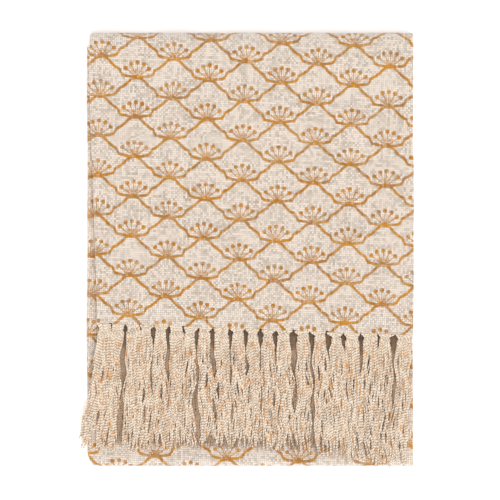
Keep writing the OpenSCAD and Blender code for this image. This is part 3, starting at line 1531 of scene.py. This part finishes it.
    def make_flap(self, name: str, pack: int, up: float, nodes: tuple[str, ...]) -> bpy.types.Object:
        """Make one of the two fringed ends that lie on top.

        Args:
            name: the piece's name.
            pack: which pack it is, counted from 0 at the bottom.
            up: 1 where the printed side faces up and -1 where it faces down.
            nodes: the CAD nodes that it stands for.

        Returns:
            The piece.
        """
        plan = self.plan
        share = np.linspace(0.0, 1.0, self.flap_rows) ** self.flap_crowding
        y = plan.edge_root[1] + (plan.hinge_y - plan.edge_root[1]) * share
        centre, outward = self.flat(y, plan.pack_middle(pack), up)
        if up > 0:
            run, slip = y.copy(), np.zeros(len(y))
        else:
            run, slip = plan.inner_run_start + plan.hinge_y - y, np.ones(len(y))
        left, right = self.flap_sides(y)
        patch = self.patch(centre, outward, run, slip, left, right, front=True)
        piece = patch.to_piece(name, self.finishes, self.settling)
        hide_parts(*nodes)
        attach(piece, "flap")
        return piece

    def make_turns(self) -> list[bpy.types.Object]:
        """Make the four layers of each turn, each as a piece of its own.

        Returns:
            The pieces.
        """
        plan = self.plan
        angles = np.linspace(math.pi / 2.0, -math.pi / 2.0, self.turn_rows)
        printed_r = plan.radius_out + plan.printed_out
        outer_run = plan.hinge_y + printed_r * (math.pi / 2.0 - angles)
        inner_run = plan.inner_run_start - plan.radius_in * (math.pi / 2.0 - angles)
        turns = (
            ("outer_turn", plan.radius_out, 1.0, outer_run, np.zeros(len(angles))),
            ("inner_turn", plan.radius_in, -1.0, inner_run, np.ones(len(angles))),
        )
        pieces = []
        for node, radius, facing, run, slip in turns:
            centre, outward = self.ring(plan.hinge_y, plan.hinge_z, radius, angles, facing)
            left, right = self.turn_sides(centre[:, 0])
            patch = self.patch(centre, outward, run, slip, left, right)
            cuts = (0, *self.path.splits, len(self.path.straight) - 1)
            order = (Layer.INSIDE, Layer.OUTSIDE, Layer.SECOND, Layer.THIRD)
            for start, stop, layer in zip(cuts[:-1], cuts[1:], order):
                name = f"{node}_{layer.name.lower()}"
                piece = patch.columns(start, stop).to_piece(name, self.finishes, self.settling)
                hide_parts(node)
                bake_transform(piece)
                pieces.append(piece)
        return pieces


# ---------------------------------------------------------------------------------------------------------
# The fringe
# ---------------------------------------------------------------------------------------------------------


@dataclass
class YarnBundle:
    """Lengths of yarn gathered up to become one mesh of tubes."""

    sides: int
    points: list[np.ndarray] = field(default_factory=list)
    faces: list[np.ndarray] = field(default_factory=list)
    caps: list[np.ndarray] = field(default_factory=list)
    uv: list[np.ndarray] = field(default_factory=list)
    slots: list[np.ndarray] = field(default_factory=list)
    total: int = 0

    def add(
        self,
        line: np.ndarray,
        radius: np.ndarray,
        up: tuple[float, float, float],
        slot: int,
        start: np.ndarray,
    ) -> None:
        """Add yarns of the same number of rings.

        Args:
            line: (n, rings, 3) middle lines.
            radius: (n, rings) radii.
            up: a direction that no line runs along.
            slot: material slot.
            start: (n,) where each yarn starts on the finish's pattern.
        """
        n, rings = line.shape[:2]
        forward = unit(np.gradient(line, axis=1))
        aside = unit(np.cross(forward, np.array(up)))
        over = np.cross(aside, forward)
        turn = np.linspace(0.0, 2.0 * math.pi, self.sides + 1)
        spoke = np.cos(turn)[:, None] * aside[:, :, None] + np.sin(turn)[:, None] * over[:, :, None]
        skin = line[:, :, None] + spoke * radius[:, :, None, None]
        gone = np.linalg.norm(np.diff(line, axis=1), axis=2).cumsum(axis=1)
        length = np.concatenate([np.zeros((n, 1)), gone], axis=1) + start[:, None]
        u = np.broadcast_to(length[:, :, None], (n, rings, self.sides + 1))
        v = np.broadcast_to(turn / (2.0 * math.pi), (n, rings, self.sides + 1))
        columns = self.sides + 1
        one = grid_faces(rings, columns)
        first = self.total + np.arange(n) * rings * columns
        quads = (one[None] + first[:, None, None]).reshape(-1, 4)
        ring = np.arange(self.sides)
        ends = np.concatenate([
            first[:, None] + ring[None, ::-1],
            first[:, None] + (rings - 1) * columns + ring[None],
        ])
        self.points.append(skin.reshape(-1, 3))
        self.faces.append(quads)
        self.caps.append(ends)
        self.uv.append(np.stack([u, v], axis=-1).reshape(-1, 2))
        self.slots.append(np.full(len(quads), slot))
        self.total += n * rings * columns

    def to_piece(self, name: str, finishes: list[bpy.types.Material]) -> bpy.types.Object:
        """Make the bundle into one piece.

        Args:
            name: the piece's name.
            finishes: materials, in slot order.

        Returns:
            The piece.
        """
        caps = np.concatenate(self.caps)
        slots = np.concatenate([*self.slots, np.zeros(len(caps))])
        return build_mesh(
            name,
            np.concatenate(self.points),
            [np.concatenate(self.faces), caps],
            np.concatenate(self.uv),
            YARN_MAP,
            finishes,
            slots,
            crease_deg=75.0,
        )


@dataclass(frozen=True)
class TasselPlace:
    """Where a tassel hangs: its root, the way it runs, and the room that it has."""

    root: np.ndarray
    along: np.ndarray
    across: np.ndarray
    width: float
    length: float

    def to_world(self, across: np.ndarray, along: np.ndarray, height: np.ndarray) -> np.ndarray:
        """Turn places across, along and above the tassel's root into points."""
        flat = across[..., None] * self.across + along[..., None] * self.along
        return self.root + flat + np.stack([0.0 * height, 0.0 * height, height], axis=-1)


@dataclass(frozen=True)
class TasselStyle:
    """How finely a tassel is made and how it spreads."""

    strands: int
    rings: int
    sides: int
    yarn_r: float
    knot_at: float
    knot_half_w: float
    knot_half_h: float
    knot_half_l: float
    neck_half: float
    skirt_t: float
    spread_at: float
    wraps: int
    gathers: int
    crimp: float
    wander: float
    rise: float = 0.0


@dataclass(frozen=True)
class TasselChance:
    """How much tassels differ: the ends of the ranges that their sizes are drawn from.

    Those without _mm are factors of the style's own size, or shares.
    """

    knot_at_mm: Span = (-2.2, 3.2)
    knot_aside_mm: Span = (-1.7, 1.7)
    slant: Span = (0.12, 0.5)
    big_share: float = 0.3
    big_knot: Span = (1.18, 1.34)
    plain_knot: Span = (0.84, 1.1)
    rise: Span = (0.4, 1.3)
    spread_at: Span = (0.5, 1.9)
    pull: Span = (1.1, 2.4)
    reach: Span = (-0.11, 0.08)
    pattern_start: Span = (0.0, 40.0)
    wrap_width: Span = (0.93, 1.0)
    gather_aside: float = 0.12 * MM
    wrap_along: float = 0.15 * MM


@dataclass
class TasselMaker:
    """Builds a tassel's yarns: those that gather it, its knot and its skirt."""

    style: TasselStyle
    place: TasselPlace
    rng: np.random.Generator
    tip_drop: float = 1.4 * MM
    splay: float = 0.0
    splay_from: float = 0.25
    clumps: int = 5
    clump_drift: float = 1.15 * MM
    sway: float = 1.7 * MM
    fan: float = 0.28
    crown: float = 1.0 * MM
    crown_round: float = 1.6
    full_skirt: float = 2.4 * MM
    deck_at_knot: float = 0.14
    deck_opened: float = 0.28
    skirt_lift: float = 0.6 * MM
    settle_power: float = 1.6
    settle_limit: float = 1.2
    settle_reach: float = 12.0 * MM
    loose_reach: float = 30.0 * MM
    start_share: float = 0.7
    knot_cover: float = 0.6
    drift_waves: Span = (70.0 * MM, 28.0 * MM)
    clump_waves: Span = (75.0 * MM, 30.0 * MM)
    sway_waves: Span = (190.0 * MM, 110.0 * MM)
    kink_waves: Span = (7.5 * MM, 4.6 * MM)
    bob_waves: Span = (7.0 * MM, 4.4 * MM)
    kink_swell: float = 0.14
    tip_start: float = 0.97
    tip_thin: float = 0.6
    edge_inside: float = 2.6 * MM
    edge_depth: float = 1.2 * MM
    gather_rings: int = 12
    gather_width: float = 0.97
    gather_narrow: float = 0.75
    gather_crown: float = 0.3
    gather_r: float = 0.95
    wrap_rings: int = 30
    wrap_extra: float = 0.35
    wrap_round: float = 0.72
    wrap_bow: float = 0.5 * MM
    wrap_sink: float = 0.15 * MM
    wrap_r: float = 1.05
    chance: TasselChance = field(default_factory=TasselChance)

    def __post_init__(self) -> None:
        """Draw what makes this tassel's knot its own."""
        style, rng, chance = self.style, self.rng, self.chance
        self.knot_at = style.knot_at + rng.uniform(*chance.knot_at_mm) * MM
        self.knot_aside = rng.uniform(*chance.knot_aside_mm) * MM
        self.slant = rng.choice((-1.0, 1.0)) * rng.uniform(*chance.slant)
        big = rng.random() < chance.big_share
        swell = rng.uniform(*(chance.big_knot if big else chance.plain_knot))
        self.knot_half_w = style.knot_half_w * swell
        self.neck_half = style.neck_half * swell
        self.rise = style.rise * rng.uniform(*chance.rise)
        self.spread_at = style.spread_at * rng.uniform(*chance.spread_at)
        self.pull = rng.uniform(*chance.pull)

    def lanes(self, count: int) -> np.ndarray:
        """Even places across the tassel for this many yarns, from -1 to 1."""
        return (np.arange(count) + 0.5) / count * 2.0 - 1.0

    def pattern_starts(self, count: int) -> np.ndarray:
        """Where each of this many yarns starts on its finish's pattern."""
        return self.rng.uniform(*self.chance.pattern_start, count)

    def body_middle(self, along: np.ndarray) -> np.ndarray:
        """Height of the middle of the yarns against the root's height.

        Args:
            along: distances from the root.

        Returns:
            The height at each distance.
        """
        style = self.style
        thick = style.skirt_t / 2.0 + self.skirt_lift
        knot = style.knot_half_h
        past = smooth_step((along - self.knot_at) / self.settle_reach)
        run = np.clip(along / self.place.length, 0.0, self.settle_limit)
        settled = self.tip_drop * run**self.settle_power
        return -(knot * (1.0 - past) + (2.0 * knot - thick) * past) - settled

    def skirt(self, bundle: YarnBundle) -> None:
        """Add the loose yarns, from inside the knot to their tips.

        Args:
            bundle: the yarns so far.
        """
        style, place, rng = self.style, self.place, self.rng
        n = style.strands
        reach = place.length * (1.0 + rng.uniform(*self.chance.reach, n))
        share = np.linspace(0.0, 1.0, style.rings)
        begin = self.knot_at * self.start_share
        along = begin + share[None] * (reach[:, None] - begin)
        lane = rng.permutation(self.lanes(n))
        deck = rng.uniform(-1.0, 1.0, n)
        clump = np.clip(((lane + 1.0) / 2.0 * self.clumps).astype(int), 0, self.clumps - 1)
        past_knot = along - self.knot_at - style.knot_half_l * self.knot_cover
        opened = smooth_step(past_knot / self.spread_at)
        half = self.neck_half + (place.width / 2.0 - style.yarn_r - self.neck_half) * opened
        distance = share * place.length
        drift = Wander(rng, n, *self.drift_waves).at(distance)
        shared = Wander(rng, self.clumps, *self.clump_waves).at(distance)[clump]
        whole = Wander(rng, 1, *self.sway_waves, terms=2).at(distance)
        kink = Wander(rng, n, *self.kink_waves, terms=2).at(distance)
        bob = Wander(rng, n, *self.bob_waves, terms=2).at(distance)
        loose = smooth_step((along - self.knot_at) / self.loose_reach)
        tip = (along / place.length) ** 2
        across = lane[:, None] * half * (1.0 + self.fan * tip) + self.knot_aside
        across = across + (style.wander * drift + self.clump_drift * shared + style.crimp * kink) * loose
        across = across + self.sway * whole * loose * share[None]
        across = across - self.splay * np.maximum(-lane[:, None] + self.splay_from, 0.0) * tip
        crown = self.crown * (1.0 - lane[:, None] ** 2 * self.crown_round) * opened
        deep = deck[:, None] * style.skirt_t * (self.deck_at_knot + self.deck_opened * opened)
        height = self.body_middle(along) + deep + style.crimp * bob * loose
        height = np.minimum(height + crown * min(1.0, style.skirt_t / self.full_skirt), -style.yarn_r)
        radius = style.yarn_r * (1.0 + self.kink_swell * kink)
        tapered = smooth_step((share[None] - self.tip_start) / (1.0 - self.tip_start))
        radius = radius * (1.0 - self.tip_thin * tapered)
        start = self.pattern_starts(n)
        bundle.add(place.to_world(across, along, height), radius, (0.0, 0.0, 1.0), 0, start)

    def gather(self, bundle: YarnBundle) -> None:
        """Add the short yarns that come out of the cloth's edge and run into the knot.

        Args:
            bundle: the yarns so far.
        """
        style, place, rng = self.style, self.place, self.rng
        n, rings = style.gathers, self.gather_rings
        share = np.linspace(0.0, 1.0, rings)[None]
        lane = self.lanes(n)[:, None]
        begin = -self.edge_inside
        along = begin + share * (self.knot_at - begin)
        wide = place.width / 2.0 * self.gather_width
        narrow = self.knot_half_w * self.gather_narrow
        pulled = smooth_step(share * self.pull)
        across = lane * (wide + (narrow - wide) * pulled) + self.knot_aside * pulled
        across = across + rng.normal(0.0, self.chance.gather_aside, (n, 1))
        top = -self.edge_depth
        rounded = np.sqrt(np.clip(1.0 - lane**2, 0.0, 1.0))
        sink = -style.knot_half_h + style.knot_half_h * self.gather_crown * rounded
        height = top + (sink - top) * smooth_step(share)
        radius = np.full((n, rings), style.yarn_r * self.gather_r)
        start = self.pattern_starts(n)
        bundle.add(place.to_world(across, along, height), radius, (0.0, 0.0, 1.0), 1, start)

    def knot(self, bundle: YarnBundle) -> None:
        """Add the yarns that wrap round the bundle and make the knot.

        Args:
            bundle: the yarns so far.
        """
        style, place, rng = self.style, self.place, self.rng
        n, rings = style.wraps, self.wrap_rings
        turn = np.linspace(-self.wrap_extra, 2.0 * math.pi + self.wrap_extra, rings)[None]
        lane = self.lanes(n)[:, None]
        swell = np.sqrt(1.0 - (self.wrap_round * lane) ** 2) * rng.uniform(*self.chance.wrap_width, (n, 1))
        across = (self.knot_half_w - style.yarn_r) * swell * np.sin(turn)
        height = self.rise - style.knot_half_h + (style.knot_half_h - style.yarn_r) * swell * np.cos(turn)
        height = height - self.wrap_sink
        along = self.knot_at + style.knot_half_l * lane + self.slant * across
        along = along + self.wrap_bow * np.cos(turn) * lane
        along = along + rng.normal(0.0, self.chance.wrap_along, (n, 1))
        radius = np.full((n, rings), style.yarn_r * self.wrap_r)
        start = self.pattern_starts(n)
        line = place.to_world(across + self.knot_aside, along, height)
        bundle.add(line, radius, tuple(place.along), 1, start)

    def fill(self, bundle: YarnBundle) -> None:
        """Add the whole tassel.

        Args:
            bundle: the yarns so far.
        """
        self.skirt(bundle)
        self.gather(bundle)
        self.knot(bundle)


@dataclass
class Fringe:
    """Both fringed ends: the tassels that swing on top and the rows that lie hidden under them."""

    plan: FoldPlan
    finishes: Finishes
    seed: int = 1207
    length: float = 112.0 * MM
    wave: float = 6.0 * MM
    lean_deg: float = 3.5
    lean_fade: float = 0.7
    right_lean_deg: float = 3.4
    first_splay: float = 7.5 * MM
    splay_fade: float = 0.35
    outer_extra: int = 10
    last_longer: float = 4.0 * MM
    settle_share: float = 0.55
    lean_chance_deg: Span = (-1.3, 1.3)
    width_chance_mm: Span = (-2.9, 0.8)
    row_length: Span = (0.95, 1.0)
    row_sink: float = 0.15 * MM
    second_seed: int = 100
    deep_seed: int = 200
    top: TasselStyle = field(default_factory=lambda: TasselStyle(
        strands=20, rings=150, sides=6, yarn_r=0.84 * MM, knot_at=5.2 * MM, knot_half_w=5.8 * MM,
        knot_half_h=2.0 * MM, knot_half_l=2.9 * MM, neck_half=5.1 * MM, skirt_t=2.8 * MM,
        spread_at=13.0 * MM, wraps=5, gathers=12, crimp=0.2 * MM, wander=0.9 * MM, rise=1.1 * MM,
    ))
    second: TasselStyle = field(default_factory=lambda: TasselStyle(
        strands=14, rings=70, sides=4, yarn_r=0.55 * MM, knot_at=15.0 * MM, knot_half_w=4.2 * MM,
        knot_half_h=0.9 * MM, knot_half_l=3.2 * MM, neck_half=3.4 * MM, skirt_t=0.9 * MM,
        spread_at=26.0 * MM, wraps=5, gathers=8, crimp=0.3 * MM, wander=0.8 * MM,
    ))
    deep: TasselStyle = field(default_factory=lambda: TasselStyle(
        strands=9, rings=40, sides=4, yarn_r=0.5 * MM, knot_at=6.0 * MM, knot_half_w=4.0 * MM,
        knot_half_h=0.6 * MM, knot_half_l=3.0 * MM, neck_half=3.2 * MM, skirt_t=0.5 * MM,
        spread_at=30.0 * MM, wraps=4, gathers=6, crimp=0.2 * MM, wander=0.6 * MM,
    ))

    def __post_init__(self) -> None:
        """Find the roots of the swinging tassels."""
        lifts = [joint for joint in frame["joints"] if joint["name"].endswith("_lift")]
        self.roots = np.array([joint["pos_m"] for joint in lifts])
        self.swings = [joint["child"] for joint in lifts]
        self.skew = math.atan(-self.plan.edge_slope)

    def drop_from(self, height: float) -> float:
        """How far tips sink towards the cloth that they lie on, for a tassel of this height."""
        lowest_row = self.plan.pack_middle(1) + self.plan.pack_t / 2.0 + self.plan.pitch
        return self.settle_share * max(0.0, height - lowest_row)

    def direction(self, lean_deg: float) -> tuple[np.ndarray, np.ndarray]:
        """The way a tassel runs and the way across it.

        Args:
            lean_deg: how far it leans to the left.

        Returns:
            The two directions.
        """
        angle = self.skew + math.radians(lean_deg)
        along = np.array([-math.sin(angle), -math.cos(angle), 0.0])
        return along, np.array([-along[1], along[0], 0.0])

    def make_tassel(self, number: int) -> bpy.types.Object:
        """Make one of the tassels on top.

        Args:
            number: which one, counted from 1 at the left.

        Returns:
            The piece.
        """
        index = number - 1
        node = f"tassel_{number:02d}"
        low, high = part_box(node)
        rng = np.random.default_rng(self.seed + number)
        rightward = index / (len(self.roots) - 1)
        leftward = self.lean_deg * self.lean_fade**index
        lean = leftward - self.right_lean_deg * math.sin(math.pi * rightward**1.5)
        along, across = self.direction(lean + rng.uniform(*self.lean_chance_deg))
        around = 2.0 * math.pi * index / (len(self.roots) - 1)
        length = self.length + self.wave * math.cos(around) + self.last_longer * rightward
        gaps = np.diff(self.roots[:, 0])
        room = min(gaps[max(index - 1, 0)], gaps[min(index, len(gaps) - 1)])
        width = room + rng.uniform(*self.width_chance_mm) * MM
        place = TasselPlace(self.roots[index], along, across, width, length)
        splay = self.first_splay * self.splay_fade**index
        extra = self.outer_extra if index == 0 else 0
        style = replace(self.top, strands=self.top.strands + extra)
        drop = self.drop_from(self.roots[index][2])
        bundle = YarnBundle(style.sides)
        TasselMaker(style, place, rng, tip_drop=drop, splay=splay).fill(bundle)
        piece = bundle.to_piece(f"{node}_yarns", [self.finishes.yarn, self.finishes.knot_yarn])
        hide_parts(node)
        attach(piece, self.swings[index])
        log.info("%s: box %.1f to %.1f mm across", node, low.x / MM, high.x / MM)
        return piece

    def make_row(self, node: str, style: TasselStyle, seed: int) -> bpy.types.Object:
        """Make a row of tassels under the top one, at half spacing.

        Args:
            node: the CAD node that it stands for.
            style: how its tassels are made.
            seed: what is added to the fringe's seed.

        Returns:
            The piece.
        """
        _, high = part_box(node)
        along, across = self.direction(0.0)
        middles = (self.roots[:-1] + self.roots[1:]) / 2.0
        rng = np.random.default_rng(self.seed + seed)
        bundle = YarnBundle(style.sides)
        for index, middle in enumerate(middles):
            root = np.array([middle[0], middle[1], high.z - self.row_sink])
            room = np.diff(self.roots[:, 0])[index]
            place = TasselPlace(root, along, across, room, self.length * rng.uniform(*self.row_length))
            TasselMaker(style, place, rng, tip_drop=self.drop_from(high.z)).fill(bundle)
        # The hidden rows wear two darkened yarn finishes: painted shade for the shadow under the top tassels.
        piece = bundle.to_piece(f"{node}_yarns", [self.finishes.under_yarn, self.finishes.deep_yarn])
        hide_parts(node)
        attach(piece, "flap")
        return piece

    def make(self) -> list[bpy.types.Object]:
        """Make every tassel and row, from the top down.

        Returns:
            The pieces.
        """
        pieces = [self.make_tassel(number) for number in range(1, len(self.roots) + 1)]
        pieces.append(self.make_row("outer_fringe_2", self.second, self.second_seed))
        outer_rows = [f"outer_fringe_{row}" for row in (3, 4)]
        inner_rows = [f"inner_fringe_{row}" for row in (4, 3, 2, 1)]
        for number, node in enumerate(outer_rows + inner_rows):
            pieces.append(self.make_row(node, self.deep, self.deep_seed + number))
        return pieces


# ---------------------------------------------------------------------------------------------------------
# The care label, the studio and the whole
# ---------------------------------------------------------------------------------------------------------


@dataclass
class CareLabel:
    """A blank satin label, sewn into the side hem and lying between two layers."""

    finishes: Finishes
    thickness: float = 0.22 * MM
    curl: float = 0.04 * MM
    columns: int = 18
    rows: int = 26

    def make(self) -> bpy.types.Object:
        """Make the label: a thin tape whose cut ends curl very slightly.

        Returns:
            The piece.
        """
        low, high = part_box("care_label")
        u = np.linspace(low.x, high.x, self.columns)
        v = np.linspace(low.y, high.y, self.rows)
        y, x = np.meshgrid(v, u, indexing="ij")
        along = (y - (low.y + high.y) / 2.0) / (high.y - low.y)
        z = (low.z + high.z) / 2.0 + self.curl * (2.0 * along) ** 4 - self.curl / 2.0
        points = np.stack([x, y, z], axis=-1)
        facing = np.broadcast_to(np.array([0.0, 0.0, 1.0]), points.shape).copy()
        patch = Patch(points, facing, np.stack([x, y], axis=-1), np.full(x.shape, self.thickness))
        piece = patch.to_piece("blank_care_label", self.finishes, Settling(lift=0.0, push=0.0))
        piece.data.materials.clear()
        for _ in Side:
            piece.data.materials.append(self.finishes.label)
        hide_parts("care_label")
        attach(piece, "base")
        return piece


@dataclass
class Studio:
    """Pale floor, soft lights and the camera."""

    lens: float = 320.0
    distance: float = 4.392
    aim: tuple[float, float] = (1.48 * MM, -0.5 * MM)
    floor_size: float = 30.0
    flat_radius: float = 8.0
    floor_rise: float = 0.06
    floor_gap: float = 0.4 * MM
    floor_lines: int = 41
    sensor: float = 36.0
    far_clip: float = 50.0
    key_power: float = 1.84
    key_towards: tuple[float, float, float] = (-0.22, 0.6, -1.6)
    key_spread_deg: float = 40.0
    fill_power: float = 0.45
    fill_towards: tuple[float, float, float] = (0.35, -0.1, -1.0)
    fill_spread_deg: float = 120.0
    sky: float = 0.38

    def make_camera(self) -> None:
        """Look straight down on the packet."""
        data = bpy.data.cameras.new("camera")
        data.lens = self.lens
        data.sensor_width = self.sensor
        data.clip_end = self.far_clip
        camera = bpy.data.objects.new("camera", data)
        camera.location = (self.aim[0], self.aim[1], self.distance + cad_high.z)
        bpy.context.scene.collection.objects.link(camera)
        bpy.context.scene.camera = camera

    def make_sun(
        self, name: str, power: float, towards: tuple[float, float, float], spread_deg: float
    ) -> None:
        """Add one broad, soft light.

        Args:
            name: the light's name.
            power: its strength.
            towards: the direction that its light travels in.
            spread_deg: how broad it is.
        """
        data = bpy.data.lights.new(name, "SUN")
        data.energy = power
        data.angle = math.radians(spread_deg)
        light = bpy.data.objects.new(name, data)
        light.rotation_mode = "QUATERNION"
        light.rotation_quaternion = Vector(towards).to_track_quat("-Z", "Y")
        bpy.context.scene.collection.objects.link(light)

    def make_floor(self) -> bpy.types.Object:
        """Make a wide floor, just under the packet, rising gently far away.

        Returns:
            The floor.
        """
        count = self.floor_lines
        line = np.linspace(-0.5, 0.5, count) * self.floor_size
        y, x = np.meshgrid(line, line, indexing="ij")
        away = np.maximum(np.hypot(x, y) - self.flat_radius, 0.0)
        points = np.stack([x, y, self.floor_rise * away**2 - self.floor_gap], axis=-1)
        points = points.reshape(-1, 3)
        faces = [grid_faces(count, count)]
        floor = build_mesh("studio_floor", points, faces, points[:, :2], CLOTH_MAP, [FloorFinish().build()])
        return floor

    def make(self) -> None:
        """Set up the whole studio."""
        self.make_floor()
        self.make_sun("key_light", self.key_power, self.key_towards, self.key_spread_deg)
        self.make_sun("fill_light", self.fill_power, self.fill_towards, self.fill_spread_deg)
        world = bpy.data.worlds.new("studio_air")
        world.use_nodes = True
        air = world.node_tree.nodes["Background"]
        air.inputs["Color"].default_value = (1.0, 1.0, 1.0, 1.0)
        air.inputs["Strength"].default_value = self.sky
        bpy.context.scene.world = world
        bpy.context.scene.view_settings.view_transform = "Standard"


def declare_sheets(
    cloth: Cloth,
) -> None:
    """Work out how far the flap reaches from its fold to the middle of its fringed edge; the number is not
    used.

    Args:
        cloth: the folded cloth.
    """
    plan = cloth.plan
    reach = float(plan.hinge_y - (plan.edge_root[1] + plan.edge_at(np.array(plan.right))) / 2.0)


def main() -> None:
    """Build the throw and its studio, piece by piece."""
    logging.basicConfig(level=logging.INFO, format="%(name)s: %(message)s")
    studio = Studio()
    studio.make_camera()
    finishes = Finishes.make()
    plan = FoldPlan.from_frame()
    cloth = Cloth(plan, finishes)
    base = cloth.make_base()
    outer = cloth.make_flap("outer_flap_cloth", 3, 1.0, ("outer_flap", "outer_flap_hems"))
    inner = cloth.make_flap("inner_flap_cloth", 2, -1.0, ("inner_flap", "inner_flap_hems"))
    turns = cloth.make_turns()
    fringe = Fringe(plan, finishes).make()
    label = CareLabel(finishes).make()
    declare_sheets(cloth)
    studio.make()
    for piece in (base, outer, inner, *turns, *fringe, label):
        log.info("%s: %d faces", piece.name, len(piece.data.polygons))


if __name__ == "__main__":
    main()
